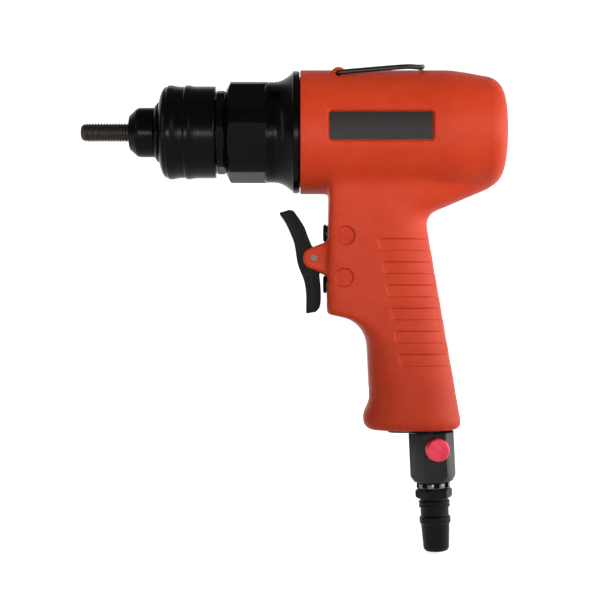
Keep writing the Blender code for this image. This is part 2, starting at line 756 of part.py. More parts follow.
def make_gear_case():
    flare_rise = CASE_FLANGE_RADIUS - CASE_RADIUS
    flare = [
        (CASE_FLARE_X + CASE_FLARE_LENGTH * share, CASE_RADIUS + flare_rise * share**CASE_FLARE_POWER)
        for share in (k / FLARE_STEPS for k in range(FLARE_STEPS + 1))
    ]
    tail_outer = MOTOR_RADIUS + GAP + CASE_TAIL_WALL
    gear_room = RING_OUTER + GAP
    bearing_seat = SPINDLE_BEARING_RADIUS + GAP
    profile = [
        (CASE_X - SPIGOT_REACH, SPIGOT_RADIUS),
        (CASE_X, SPIGOT_RADIUS),
        (CASE_X, CASE_RADIUS - 2 * CASE_CHAMFER),
        (CASE_X + CASE_CHAMFER, CASE_RADIUS),
        *flare,
        (CASE_END_X, CASE_FLANGE_RADIUS),
        (CASE_END_X, tail_outer),
        (CASE_END_X + CASE_TAIL_LENGTH, tail_outer),
        (CASE_END_X + CASE_TAIL_LENGTH, MOTOR_RADIUS + GAP),
        (CASE_END_X, MOTOR_RADIUS + GAP),
        (CASE_END_X, gear_room),
        (GEAR_ROOM_X, gear_room),
        (GEAR_ROOM_X, bearing_seat),
        (SPINDLE_BEARING_X - GAP, bearing_seat),
        (SPINDLE_BEARING_X - GAP, CASE_BORE),
        (CASE_X - SPIGOT_REACH, CASE_BORE),
    ]
    case = turned("gear_case", profile, black_steel(), segments=FINE, ring=True)
    cut(case, flats_cutter("case_flats_cut", CASE_X - MM, CASE_X + CASE_FLAT_LENGTH, CASE_FLATS, CASE_RADIUS))
    for index, side in enumerate((0, 180)):
        angle = math.radians(SPANNER_HOLE_TURN + side)
        outward = Vector((0, -math.cos(angle), math.sin(angle)))
        foot = Vector((CASE_FLARE_X - SPANNER_HOLE_SETBACK, 0, 0))
        hole = drilling(
            f"spanner_hole_cut_{index}",
            foot + outward * (CASE_RADIUS - SPANNER_HOLE_DEPTH),
            foot + outward * (CASE_FLANGE_RADIUS + MM),
            SPANNER_HOLE_RADIUS,
        )
        cut(case, hole)


def make_bearings():
    on_spindle = (SPINDLE_BEARING_LENGTH, SPINDLE_RADIUS, SPINDLE_BEARING_RADIUS)
    on_rotor = (ROTOR_BEARING_LENGTH, ROTOR_SHAFT_RADIUS, ROTOR_BEARING_RADIUS)
    bearing("spindle_bearing", SPINDLE_BEARING_X, *on_spindle)
    bearing("rotor_front_bearing", MOTOR_PLATE_X + GAP, *on_rotor)
    bearing("rotor_rear_bearing", REAR_PLATE_X + MOTOR_PLATE_LENGTH - GAP - ROTOR_BEARING_LENGTH, *on_rotor)


def bearing(name, start, length, shaft, outer):
    """A ball bearing drawn as one ring, with a groove between its races on the rear face."""
    inner = shaft + GAP
    groove = BEARING_GROOVE_SHARE * (outer - inner)
    middle = 0.5 * (outer + inner)
    depth = BEARING_GROOVE_DEPTH * length
    end = start + length
    profile = [
        (start, outer),
        (end, outer),
        (end, middle + groove),
        (end - depth, middle + groove),
        (end - depth, middle - groove),
        (end, middle - groove),
        (end, inner),
        (start, inner),
    ]
    turned(name, profile, bright_steel(), segments=SMALL, ring=True)


def make_ring_gear():
    spaces = toothed_outline(RING_TEETH, inside=True)
    extruded(
        "ring_gear",
        regular(FINE, RING_OUTER),
        OUTPUT_CARRIER_X,
        CASE_END_X - GAP,
        dark_steel(),
        holes=[spaces],
    )


def planet_places():
    return [2 * math.pi * k / PLANET_COUNT for k in range(PLANET_COUNT)]


def pins_on(carrier, name, start, end):
    for index, angle in enumerate(planet_places()):
        offset = Matrix.Translation((PLANET_ORBIT * math.cos(angle), PLANET_ORBIT * math.sin(angle), 0))
        place = ALONG_BARREL @ offset
        pin = rod(f"{name}_pin_{index}", start, end, PLANET_PIN_RADIUS, place=place, segments=PIN_FACETS)
        join(carrier, pin)


def make_spindle(bit_end):
    """Output shaft and planet carrier in one piece, with a socket for the drive bit."""
    start = bit_end - (SOCKET_DEPTH + GAP)
    profile = [
        (start, 0),
        (start, SPINDLE_RADIUS),
        (OUTPUT_CARRIER_X, SPINDLE_RADIUS),
        (OUTPUT_CARRIER_X, CARRIER_RADIUS),
        (OUTPUT_CARRIER_X + OUTPUT_CARRIER_LENGTH, CARRIER_RADIUS),
        (OUTPUT_CARRIER_X + OUTPUT_CARRIER_LENGTH, 0),
    ]
    spindle = turned("spindle", profile, bright_steel(), segments=MEDIUM)
    cut(spindle, extruded("spindle_socket_cut", hexagon(SOCKET_FLATS), start - MM, bit_end))
    rooted = OUTPUT_CARRIER_X + 0.5 * OUTPUT_CARRIER_LENGTH
    pins_on(spindle, "output", rooted, OUTPUT_GEARS_X + PLANET_LENGTH)


def make_input_carrier():
    """Input stage carrier with the output stage's sun gear cut on its nose."""
    end = INPUT_CARRIER_X + INPUT_CARRIER_LENGTH
    carrier = rod("input_carrier", INPUT_CARRIER_X, end, CARRIER_RADIUS, bright_steel(), segments=MEDIUM)
    sun = extruded("output_sun_add", toothed_outline(SUN_TEETH), OUTPUT_GEARS_X, INPUT_CARRIER_X + MM)
    join(carrier, sun)
    pins_on(carrier, "input", INPUT_CARRIER_X + 0.5 * INPUT_CARRIER_LENGTH, INPUT_GEARS_X + PLANET_LENGTH)


def make_planets(stage, start):
    hole = regular(PIN_FACETS, PLANET_PIN_RADIUS + GAP)
    for index, angle in enumerate(planet_places()):
        place = ALONG_BARREL @ Matrix.Rotation(angle, 4, "Z") @ Matrix.Translation((PLANET_ORBIT, 0, start))
        name = f"{stage}_planet_{index + 1}"
        extruded(name, toothed_outline(PLANET_TEETH), 0, PLANET_LENGTH, dark_steel(), place, holes=[hole])


def rotor_outline():
    """Round rotor with a slot for each vane."""
    half_slot = VANE_THICKNESS / 2 + GAP
    floor = ROTOR_RADIUS - VANE_DEPTH - GAP
    mouth = math.asin(half_slot / ROTOR_RADIUS)
    outline = []
    to_next = 2 * math.pi / VANE_COUNT
    for index in range(VANE_COUNT):
        turn = to_next * index
        slot = [
            (math.hypot(floor, half_slot), -math.atan2(half_slot, floor)),
            (math.hypot(floor, half_slot), math.atan2(half_slot, floor)),
        ]
        rim = [(ROTOR_RADIUS, mouth + (to_next - 2 * mouth) * k / RIM_STEPS) for k in range(RIM_STEPS + 1)]
        outline += [(r * math.cos(turn + a), r * math.sin(turn + a)) for r, a in slot + rim]
    return outline


def make_rotor():
    """Rotor body, its shaft and the input pinion, all one piece."""
    start = MOTOR_X + GAP
    end = MOTOR_X + MOTOR_LENGTH - GAP
    shaft_start = INPUT_GEARS_X + PLANET_LENGTH + 4 * GAP
    shaft_end = REAR_PLATE_X + MOTOR_PLATE_LENGTH - GAP
    rotor = extruded("rotor", rotor_outline(), start, end, bright_steel())
    join(rotor, rod("rotor_shaft_add", shaft_start, shaft_end, ROTOR_SHAFT_RADIUS))
    join(rotor, extruded("input_sun_add", toothed_outline(SUN_TEETH), INPUT_GEARS_X, shaft_start + MM))


def make_vanes():
    half = VANE_THICKNESS / 2
    floor = ROTOR_RADIUS - VANE_DEPTH
    outline = [(floor, -half), (ROTOR_RADIUS, -half), (ROTOR_RADIUS, half), (floor, half)]
    for index in range(VANE_COUNT):
        place = ALONG_BARREL @ Matrix.Rotation(2 * math.pi * index / VANE_COUNT, 4, "Z")
        start = MOTOR_X + 2 * GAP
        end = MOTOR_X + MOTOR_LENGTH - 2 * GAP
        extruded(f"vane_{index + 1}", outline, start, end, composite(), place)


def make_motor_cylinder():
    """Liner with its bore below the rotor's axis, and a row of exhaust ports at its side."""
    bore = [(x + MOTOR_OFFSET, y) for x, y in regular(FINE, MOTOR_BORE)]
    wall = regular(FINE, MOTOR_RADIUS)
    cylinder = extruded("motor_cylinder", wall, MOTOR_X, MOTOR_X + MOTOR_LENGTH, bright_steel(), holes=[bore])
    for index in range(MOTOR_PORTS):
        x = MOTOR_X + MOTOR_LENGTH * (index + 1) / (MOTOR_PORTS + 1)
        port = drilling(f"motor_port_cut_{index}", (x, 0, 0), (x, 0, -MOTOR_RADIUS - MM), MOTOR_PORT_RADIUS)
        cut(cylinder, port)


def make_motor_plates():
    seat = ROTOR_BEARING_RADIUS + GAP
    hole = ROTOR_SHAFT_RADIUS + 2 * GAP
    front_end = MOTOR_PLATE_X + MOTOR_PLATE_LENGTH
    front_floor = MOTOR_PLATE_X + GAP + ROTOR_BEARING_LENGTH + GAP
    front = [
        (MOTOR_PLATE_X, MOTOR_RADIUS),
        (front_end, MOTOR_RADIUS),
        (front_end, hole),
        (front_floor, hole),
        (front_floor, seat),
        (MOTOR_PLATE_X, seat),
    ]
    turned("motor_front_plate", front, dark_steel(), segments=MEDIUM, ring=True)
    rear_end = REAR_PLATE_X + MOTOR_PLATE_LENGTH
    rear_floor = rear_end - GAP - ROTOR_BEARING_LENGTH - GAP
    rear = [
        (REAR_PLATE_X, MOTOR_RADIUS),
        (rear_end, MOTOR_RADIUS),
        (rear_end, seat),
        (rear_floor, seat),
        (rear_floor, hole),
        (REAR_PLATE_X, hole),
    ]
    turned("motor_rear_plate", rear, dark_steel(), segments=MEDIUM, ring=True)


def barrel_profile():
    """Straight barrel that tapers gently to a rounded rear end."""
    taper_x = HOUSING_X + BARREL_STRAIGHT
    round_x = HOUSING_END_X - BARREL_END_ROUND
    drop = BARREL_RADIUS - BARREL_REAR_RADIUS
    taper = [
        (taper_x + (round_x - taper_x) * share, BARREL_RADIUS - drop * share**BARREL_TAPER_POWER)
        for share in (0.35, 0.7)
    ]
    corner = arc((round_x, BARREL_REAR_RADIUS - BARREL_END_ROUND), BARREL_END_ROUND, 90, 0, END_ROUND_STEPS)
    mouth = BARREL_MOUTH_EDGE
    return [
        (HOUSING_X, 0),
        (HOUSING_X, BARREL_RADIUS - mouth),
        (HOUSING_X + mouth, BARREL_RADIUS),
        (taper_x, BARREL_RADIUS),
        *taper,
        *corner,
        (HOUSING_END_X, 0),
    ]


def rear_edge(z):
    """X of the handle's rear edge: a raked line, the saddle for the hand, and the web up to the barrel."""
    line_x = HOUSING_X + SADDLE_SETBACK + math.tan(HANDLE_RAKE) * (SADDLE_HEIGHT - z)
    if z <= SADDLE_HEIGHT:
        return line_x
    centre_x = HOUSING_X + SADDLE_SETBACK + SADDLE_ROUND * math.cos(HANDLE_RAKE)
    centre_z = SADDLE_HEIGHT + SADDLE_ROUND * math.sin(HANDLE_RAKE)
    web_z = centre_z + SADDLE_ROUND * math.cos(WEB_SLOPE)
    if z <= web_z:
        return centre_x - math.sqrt(max(0.0, SADDLE_ROUND**2 - (z - centre_z) ** 2))
    web_x = centre_x - SADDLE_ROUND * math.sin(WEB_SLOPE)
    return min(web_x + (z - web_z) / math.tan(WEB_SLOPE), HOUSING_END_X - WEB_END)


def handle_front(z):
    return HOUSING_X + HANDLE_FRONT_SETBACK + HANDLE_FRONT_SLOPE * (BLOCK_BOTTOM - z)


def shelf_arc():
    """Centre and upper end of the round under the trigger block."""
    centre_x = handle_front(BLOCK_BOTTOM - BLOCK_SHELF_ROUND) - BLOCK_SHELF_ROUND
    top_x = centre_x + BLOCK_SHELF_ROUND * math.sin(BLOCK_SHELF)
    top_z = BLOCK_BOTTOM - math.tan(BLOCK_SHELF) * (top_x - BLOCK_X)
    return centre_x, top_z - BLOCK_SHELF_ROUND * math.cos(BLOCK_SHELF), top_z


def front_edge(z):
    """X of the front edge: the trigger block, its sloping shelf, the round below it, and the handle."""
    centre_x, centre_z, top_z = shelf_arc()
    if z >= BLOCK_BOTTOM:
        return BLOCK_X + BLOCK_LEAN * max(0.0, z - TRIGGER_PIN_HEIGHT)
    if z >= top_z:
        return BLOCK_X + (BLOCK_BOTTOM - z) / math.tan(BLOCK_SHELF)
    if z >= centre_z:
        return centre_x + math.sqrt(BLOCK_SHELF_ROUND**2 - (z - centre_z) ** 2)
    return handle_front(z) - FOOT_FLARE * foot_share(z)


def foot_share(z):
    """How far the foot has flared at a height, from 0 to 1 on a smooth ramp."""
    top = HANDLE_BOTTOM + FOOT_BASE + FOOT_HEIGHT
    share = min(1.0, max(0.0, (top - z) / FOOT_HEIGHT))
    return share * share * (3 - 2 * share)


def half_width(z):
    """Half the handle's width, with a fillet up into the round barrel."""
    side = HANDLE_WIDTH / 2 + FOOT_SIDE_FLARE * foot_share(z)
    centre_y = HANDLE_WIDTH / 2 + BARREL_FILLET
    centre_z = -math.sqrt((BARREL_RADIUS + BARREL_FILLET) ** 2 - centre_y**2)
    top_z = centre_z * BARREL_RADIUS / (BARREL_RADIUS + BARREL_FILLET)
    if z <= centre_z:
        return side
    rise = min(z, top_z) - centre_z
    return centre_y - math.sqrt(BARREL_FILLET**2 - rise**2)


def handle_section(z, inset=0.0):
    """Middle, front and rear reach, half width and front squareness of the handle at a height."""
    low = z - HANDLE_BOTTOM
    if low < HANDLE_BOTTOM_ROUND:
        fall = HANDLE_BOTTOM_ROUND - low
        inset += HANDLE_BOTTOM_ROUND - math.sqrt(max(0.0, HANDLE_BOTTOM_ROUND**2 - fall**2))
    raked = HOUSING_X + SADDLE_SETBACK + math.tan(HANDLE_RAKE) * (SADDLE_HEIGHT - z)
    middle = raked - HANDLE_MIDDLE
    centre_z = shelf_arc()[1]
    blend = min(1.0, max(0.0, (BLOCK_BOTTOM - z) / (BLOCK_BOTTOM - centre_z)))
    squareness = BLOCK_SQUARENESS + (HANDLE_SQUARENESS - BLOCK_SQUARENESS) * blend
    return (
        middle,
        middle - front_edge(z) - inset,
        rear_edge(z) - middle - inset,
        half_width(z) - inset,
        squareness,
    )


def section_point(z, angle, inset=0.0):
    """A point of the handle's outline at a height. Angle 0 faces the rear, 90 degrees the far side."""
    middle, front, rear, side, squareness = handle_section(z, inset)
    across = math.cos(angle)
    reach, power = (rear, REAR_SQUARENESS) if across > 0 else (front, squareness)
    x = middle + math.copysign(reach * abs(across) ** (2 / power), across)
    y = math.copysign(side * abs(math.sin(angle)) ** (2 / power), math.sin(angle))
    return x, y, z


def handle_heights():
    """Heights of the handle's sections, close together where the outline turns."""
    centre_z = SADDLE_HEIGHT + SADDLE_ROUND * math.sin(HANDLE_RAKE)
    web_z = centre_z + SADDLE_ROUND * math.cos(WEB_SLOPE)
    barrel_z = -BARREL_RADIUS
    _, shelf_z, shelf_top = shelf_arc()
    heights = [barrel_z * (1 - share) for share in (0.45, 0.28, 0.19, 0.09, 0)]
    heights += [barrel_z + (web_z - barrel_z) * share for share in (0.5, 1.0)]
    heights += [centre_z + SADDLE_ROUND * math.sin(math.radians(a)) for a in (45, 22)]
    heights += [SADDLE_HEIGHT, 0.5 * (SADDLE_HEIGHT + BLOCK_BOTTOM), BLOCK_BOTTOM]
    heights += [0.5 * (BLOCK_BOTTOM + shelf_top), shelf_top]
    heights += [shelf_z + BLOCK_SHELF_ROUND * math.cos(math.radians(a)) for a in (35, 55, 74, 90)]
    foot_top = HANDLE_BOTTOM + FOOT_BASE + FOOT_HEIGHT
    heights += [foot_top - FOOT_HEIGHT * share for share in (0, 0.3, 0.6, 1.0)]
    heights += [
        HANDLE_BOTTOM + HANDLE_BOTTOM_ROUND * (1 - math.sin(math.radians(a))) for a in (0, 35, 65, 90)
    ]
    return heights


def handle_solid():
    """The handle, trigger block and web as one lofted body that reaches up into the barrel."""
    mesh = bmesh.new()
    turns = [2 * math.pi * (k + 0.5) / SECTION_POINTS for k in range(SECTION_POINTS)]
    rings = [[mesh.verts.new(section_point(z, a)) for a in turns] for z in handle_heights()]
    for upper, lower in zip(rings, rings[1:]):
        for k in range(SECTION_POINTS):
            after = (k + 1) % SECTION_POINTS
            mesh.faces.new((upper[k], upper[after], lower[after], lower[k]))
    mesh.faces.new(rings[0])
    mesh.faces.new(rings[-1])
    return finish("handle_add", mesh, None)


def pad_angles(z):
    """Outline angles of a pad, from its front end on one side around the back to the other side."""
    middle, _, rear, _, _ = handle_section(z)
    front_end = rear_edge(z) - PAD_REACH
    share = min(1.0, max(0.02, (front_end - middle) / rear))
    first = math.acos(share ** (REAR_SQUARENESS / 2))
    near_end = [first, first * (1 - PAD_END_SHARE)]
    middle_run = [first * (1 - step / PAD_STEPS) for step in range(1, 2 * PAD_STEPS)]
    far_end = [-angle for angle in reversed(near_end)]
    return near_end + middle_run + far_end


def pad_cutter(index):
    """A sunk pad with round front ends, as a thin shell that follows the handle's outline."""
    middle_z = PAD_TOP - PAD_HEIGHT / 2 - PAD_PITCH * index
    turns = pad_angles(middle_z)
    shares = [PAD_END_HEIGHT] + [1.0] * (len(turns) - 2) + [PAD_END_HEIGHT]
    mesh = bmesh.new()
    loops = []
    for angle, share in zip(turns, shares):
        half = share * PAD_HEIGHT / 2
        corners = []
        depth = PAD_BACK_DEPTH + (PAD_DEPTH - PAD_BACK_DEPTH) * abs(math.sin(angle))
        for z, inset in (
            (middle_z + half, -MM),
            (middle_z - half, -MM),
            (middle_z - half, depth),
            (middle_z + half, depth),
        ):
            corners.append(mesh.verts.new(section_point(z, angle, inset)))
        loops.append(corners)
    for near, far in zip(loops, loops[1:]):
        for k in range(4):
            after = (k + 1) % 4
            mesh.faces.new((near[k], near[after], far[after], far[k]))
    mesh.faces.new(loops[0])
    mesh.faces.new(loops[-1])
    return finish(f"pad_cut_{index}", mesh, None)


def curved_panel(name, start, end, inner, outer, half_angle, skin=None):
    """A piece of a cylinder's wall that faces the near side of the barrel."""
    mesh = bmesh.new()
    corners = [
        mesh.verts.new((radius, 0, along))
        for along, radius in ((start, inner), (start, outer), (end, outer), (end, inner))
    ]
    face = mesh.faces.new(corners)
    bmesh.ops.rotate(mesh, verts=corners, matrix=Matrix.Rotation(-half_angle, 3, "Z"))
    bmesh.ops.spin(mesh, geom=[face], cent=(0, 0, 0), axis=(0, 0, 1), angle=2 * half_angle, steps=PANEL_STEPS)
    near_side = ALONG_BARREL @ Matrix.Rotation(math.radians(-90), 4, "Z")
    return finish(name, mesh, skin, near_side)


def make_name_plate():
    """Bare plate in a shallow recess on the near side."""
    floor = BARREL_RADIUS - PLATE_SINK - PLATE_THICKNESS - GAP
    start = HOUSING_X + PLATE_START
    end = start + PLATE_LENGTH
    spread = PLATE_WIDTH / 2 / BARREL_RADIUS
    margin = PLATE_MARGIN / BARREL_RADIUS
    curved_panel("name_plate", start, end, floor + GAP, floor + GAP + PLATE_THICKNESS, spread, plate_grey())
    return curved_panel(
        "plate_recess_cut",
        start - PLATE_MARGIN,
        end + PLATE_MARGIN,
        floor,
        BARREL_RADIUS + MM,
        spread + margin,
    )


def ear_solid(name, side):
    """One of the two ears that hold the trigger's pin. It is drawn in X and Z and pushed along Y."""
    nose = arc((TRIGGER_PIN_X, TRIGGER_PIN_HEIGHT), EAR_NOSE_RADIUS, 100, 260, EAR_NOSE_STEPS)
    root_x = BLOCK_X + EAR_ROOT_DEPTH
    half_root = EAR_ROOT_HEIGHT / 2
    outline = [
        *nose,
        (root_x, TRIGGER_PIN_HEIGHT - half_root),
        (root_x, TRIGGER_PIN_HEIGHT + half_root),
    ]
    low, high = (EAR_INNER, EAR_OUTER) if side > 0 else (-EAR_OUTER, -EAR_INNER)
    return side_solid(name, outline, low, high)


def across_barrel(x, z):
    """The place at an X and Z whose local Z runs along +Y."""
    return Matrix.Translation((x, 0, z)) @ Matrix.Rotation(math.radians(-90), 4, "X")


def side_solid(name, outline, low, high, skin=None, origin=(0, 0), bevel=0.0, holes=()):
    """An outline in X and Z, pushed along Y. The object's origin lies at the given X and Z."""
    local = [[(x - origin[0], origin[1] - z) for x, z in loop] for loop in (outline, *holes)]
    solid = finish(name, extruded_mesh(local[0], low, high, local[1:]), skin, across_barrel(*origin))
    if bevel:
        edge = solid.modifiers.new("edge_round", "BEVEL")
        edge.width = bevel
        edge.segments = 1
        edge.limit_method = "ANGLE"
        edge.angle_limit = math.radians(50)
    return solid


def cavity_solid():
    """Room for the motor, with a wider mouth for the gear case's tail."""
    mouth = BARREL_RADIUS - BARREL_MOUTH_WALL
    mouth_end = CASE_END_X + CASE_TAIL_LENGTH + GAP
    profile = [
        (HOUSING_X - MM, 0),
        (HOUSING_X - MM, mouth),
        (mouth_end, mouth),
        (mouth_end, MOTOR_RADIUS + GAP),
        (CAVITY_END_X, MOTOR_RADIUS + GAP),
        (CAVITY_END_X, 0),
    ]
    return turned("motor_room_cut", profile, segments=FINE)


def valve_bore(name, z):
    """Stepped hole for a bush, a plunger and its spring."""
    bush_end = BLOCK_X + VALVE_BUSH_LENGTH + GAP
    profile = [
        (BLOCK_X - 2 * MM, 0),
        (BLOCK_X - 2 * MM, VALVE_BUSH_RADIUS + GAP),
        (bush_end, VALVE_BUSH_RADIUS + GAP),
        (bush_end, PLUNGER_RADIUS + GAP),
        (VALVE_BORE_END_X, PLUNGER_RADIUS + GAP),
        (VALVE_BORE_END_X, 0),
    ]
    return turned(name, profile, place=Matrix.Translation((0, 0, z)) @ ALONG_BARREL, segments=INLET_FACETS)


def silencer_box(name, inset, skin=None):
    """The felt silencer, or its room when the inset is zero."""
    start = HOUSING_X + SILENCER_START + inset
    end = HOUSING_X + SILENCER_START + SILENCER_LENGTH - inset
    half = SILENCER_WIDTH / 2 - inset
    low = HANDLE_BOTTOM + (inset if inset else -MM)
    high = HANDLE_BOTTOM + SILENCER_HEIGHT - inset
    outline = [(start, -half), (end, -half), (end, half), (start, half)]
    return extruded(name, outline, low, high, skin, place=Matrix.Identity(4))


def air_passages():
    """Drilled ways from the inlet to the valves and the motor, and from the motor to the silencer."""
    valve_x = VALVE_BORE_END_X - AIR_PASSAGE_RADIUS
    inlet_top = INLET_FRAME @ Vector((0, 0, INLET_STEM_LENGTH + GAP))
    exhaust_x = HOUSING_X + SILENCER_START + EXHAUST_PASSAGE_RADIUS
    silencer_top = HANDLE_BOTTOM + SILENCER_HEIGHT
    side = EXHAUST_PASSAGE_SIDE
    turn = (valve_x, 0, LOWER_VALVE_Z)
    return [
        drilling("feed_cut", inlet_top - Vector((0, 0, MM)), turn, AIR_PASSAGE_RADIUS),
        drilling("gallery_cut", turn, (valve_x, 0, -MOTOR_RADIUS + MM), AIR_PASSAGE_RADIUS),
        drilling(
            "exhaust_cut",
            (exhaust_x, side, silencer_top - MM),
            (exhaust_x, side, -0.8 * MOTOR_RADIUS),
            EXHAUST_PASSAGE_RADIUS,
        ),
    ]


def make_housing():
    """Moulded body: barrel, handle, ears and bail boss, hollowed for the motor, valves and air."""
    housing = turned("housing", barrel_profile(), orange_plastic(), segments=FINE)
    join(housing, handle_solid())
    join(housing, ear_solid("near_ear_add", -1))
    join(housing, ear_solid("far_ear_add", 1))
    across = across_barrel(BAIL_X, BAIL_HEIGHT)
    half_boss = BAIL_BOSS_SIDE
    join(housing, rod("bail_boss_add", -half_boss, half_boss, BAIL_BOSS_RADIUS, place=across))
    cut(housing, cavity_solid())
    cut(housing, make_name_plate())
    for index in range(PAD_COUNT):
        cut(housing, pad_cutter(index))
    cut(housing, valve_bore("upper_valve_cut", UPPER_VALVE_Z))
    cut(housing, valve_bore("lower_valve_cut", LOWER_VALVE_Z))
    pin_place = across_barrel(TRIGGER_PIN_X, TRIGGER_PIN_HEIGHT)
    pin_hole = TRIGGER_PIN_RADIUS + GAP
    cut(housing, rod("trigger_pin_cut", -EAR_OUTER - MM, EAR_OUTER + MM, pin_hole, place=pin_place))
    bail_hole_end = half_boss - BAIL_PIN_DEPTH - GAP
    for name, start, end in (
        ("near_bail_cut", -half_boss - MM, -bail_hole_end),
        ("far_bail_cut", bail_hole_end, half_boss + MM),
    ):
        cut(housing, rod(name, start, end, BAIL_WIRE + GAP, place=across, segments=DRILLED))
    inlet_hole = INLET_STEM_RADIUS + GAP
    cut(housing, rod("inlet_cut", -5 * MM, INLET_STEM_LENGTH + GAP, inlet_hole, place=INLET_FRAME))
    cut(housing, silencer_box("silencer_cut", 0.0))
    for passage in air_passages():
        cut(housing, passage)


def trigger_outline():
    """Front face, foot, rear face with the hub around the pin, and the curled top, about the pin."""
    hub = (TRIGGER_PIN_RADIUS + GAP + TRIGGER_HUB_WALL) / MM
    around_pin = arc((0, 0), hub, -35, 55, HUB_STEPS)
    points = [*smooth_run(TRIGGER_FRONT, 2), *TRIGGER_FOOT, *around_pin, *TRIGGER_CURL]
    return [(TRIGGER_PIN_X + x * MM, TRIGGER_PIN_HEIGHT + z * MM) for x, z in points]


def make_trigger():
    pin_centre = (TRIGGER_PIN_X, TRIGGER_PIN_HEIGHT)
    hole = [(pin_centre[0] + x, pin_centre[1] + z) for x, z in regular(SMALL, TRIGGER_PIN_RADIUS + GAP)]
    half = TRIGGER_WIDTH / 2
    outline = trigger_outline()
    side_solid("trigger", outline, -half, half, black_plastic(), pin_centre, TRIGGER_EDGE, [hole])
    reach = EAR_OUTER + TRIGGER_PIN_PROUD
    place = across_barrel(TRIGGER_PIN_X, TRIGGER_PIN_HEIGHT)
    rod("trigger_pin", -reach, reach, TRIGGER_PIN_RADIUS, bright_steel(), place)


def make_valve(stage, z):
    """A bush, the plunger that the trigger pushes, and its return spring."""
    place = Matrix.Translation((0, 0, z)) @ ALONG_BARREL
    bush_start = BLOCK_X + GAP
    ring_between(
        f"{stage}_valve_bush",
        bush_start,
        BLOCK_X + VALVE_BUSH_LENGTH,
        PLUNGER_RADIUS + GAP,
        VALVE_BUSH_RADIUS,
        bronze(),
        place,
        segments=SMALL,
    )
    neck = PLUNGER_X + PLUNGER_HEAD_LENGTH
    piston = neck + PLUNGER_STEM_LENGTH
    face_round = 0.5 * MM
    profile = [
        (PLUNGER_X, 0),
        (PLUNGER_X, PLUNGER_RADIUS - face_round),
        (PLUNGER_X + face_round, PLUNGER_RADIUS),
        (neck, PLUNGER_RADIUS),
        (neck, PLUNGER_STEM_RADIUS),
        (piston, PLUNGER_STEM_RADIUS),
        (piston, PLUNGER_RADIUS),
        (PISTON_END_X, PLUNGER_RADIUS),
        (PISTON_END_X, 0),
    ]
    turned(f"{stage}_plunger", profile, black_steel(), place, segments=SMALL)
    coil = SPRING_RADIUS - SPRING_WIRE
    steps = SPRING_FACETS * SPRING_TURNS
    start = SPRING_X + SPRING_WIRE
    run = SPRING_LENGTH - 2 * SPRING_WIRE
    wire = [
        (
            coil * math.cos(2 * math.pi * k / SPRING_FACETS),
            coil * math.sin(2 * math.pi * k / SPRING_FACETS),
            start + run * k / steps,
        )
        for k in range(steps + 1)
    ]
    tube(f"{stage}_valve_spring", wire, SPRING_WIRE, SPRING_WIRE_FACETS, bright_steel(), place)


def make_exhaust_cover():
    """Thin slotted plate under the handle, held by the inlet body."""
    start = HOUSING_X + COVER_START
    end = HOUSING_X + COVER_END
    half = COVER_WIDTH / 2
    corner = COVER_CORNER
    outline = (
        arc((end - corner, half - corner), corner, 0, 90, CORNER_STEPS)
        + arc((start + corner, half - corner), corner, 90, 180, CORNER_STEPS)
        + arc((start + corner, corner - half), corner, 180, 270, CORNER_STEPS)
        + arc((end - corner, corner - half), corner, 270, 360, CORNER_STEPS)
    )
    stem = INLET_STEM_RADIUS + 2 * GAP
    inlet_x = HOUSING_X + INLET_SETBACK
    holes = [[(inlet_x + x, y) for x, y in regular(SMALL, stem)]]
    slot_room = inlet_x - stem - start
    for index in range(COVER_SLOTS):
        x = start + slot_room * (index + 1) / (COVER_SLOTS + 1)
        left, right = x - COVER_SLOT_WIDTH / 2, x + COVER_SLOT_WIDTH / 2
        reach = COVER_SLOT_LENGTH / 2
        holes.append([(left, -reach), (right, -reach), (right, reach), (left, reach)])
    top = HANDLE_BOTTOM - GAP
    extruded("exhaust_cover", outline, top - COVER_THICKNESS, top, black_steel(), Matrix.Identity(4), holes)


def make_inlet_body():
    """Hexagon body that screws into the handle, with a cross bore for the slide valve."""
    beyond_corners = 1.06 * INLET_FLATS / math.sqrt(3)
    flats = hexagon(INLET_FLATS)
    body = extruded("inlet_body", flats, -INLET_END, -INLET_HEX_START, dark_steel(), INLET_FRAME)
    blank = [
        (-INLET_END - MM, 0),
        (-INLET_END - MM, INLET_END_RADIUS - MM / 2),
        (-INLET_END + INLET_CHAMFER, beyond_corners),
        (-INLET_HEX_START + MM, beyond_corners),
        (-INLET_HEX_START + MM, 0),
    ]
    combine(body, turned("inlet_blank", blank, place=INLET_FRAME, segments=MEDIUM), "INTERSECT")
    root = -INLET_HEX_START - MM
    stem = rod("inlet_stem_add", root, INLET_STEM_LENGTH, INLET_STEM_RADIUS, None, INLET_FRAME, INLET_FACETS)
    join(body, stem)
    step = -INLET_END + PLUG_THREAD_LENGTH + GAP
    bore = [
        (-INLET_END - 2 * MM, 0),
        (-INLET_END - 2 * MM, PLUG_THREAD_RADIUS + GAP),
        (step, PLUG_THREAD_RADIUS + GAP),
        (step, INLET_BORE),
        (INLET_STEM_LENGTH + MM, INLET_BORE),
        (INLET_STEM_LENGTH + MM, 0),
    ]
    cut(body, turned("inlet_bore_cut", bore, place=INLET_FRAME, segments=INLET_FACETS))
    reach = INLET_FLATS / 2 + 2 * MM
    cut(body, rod("spool_bore_cut", -reach, reach, SPOOL_RADIUS + GAP, None, SPOOL_FRAME, SPOOL_BORE_FACETS))


def spool_land(middle):
    """A groove for a seal in the spool."""
    groove = 2 * SEAL_RADIUS + 2 * SEAL_SQUEEZE_CLEARANCE
    floor = SPOOL_RADIUS - groove
    half = SEAL_RADIUS + SEAL_SQUEEZE_CLEARANCE
    return [
        (middle - half, SPOOL_RADIUS),
        (middle - half, floor),
        (middle + half, floor),
        (middle + half, SPOOL_RADIUS),
    ]


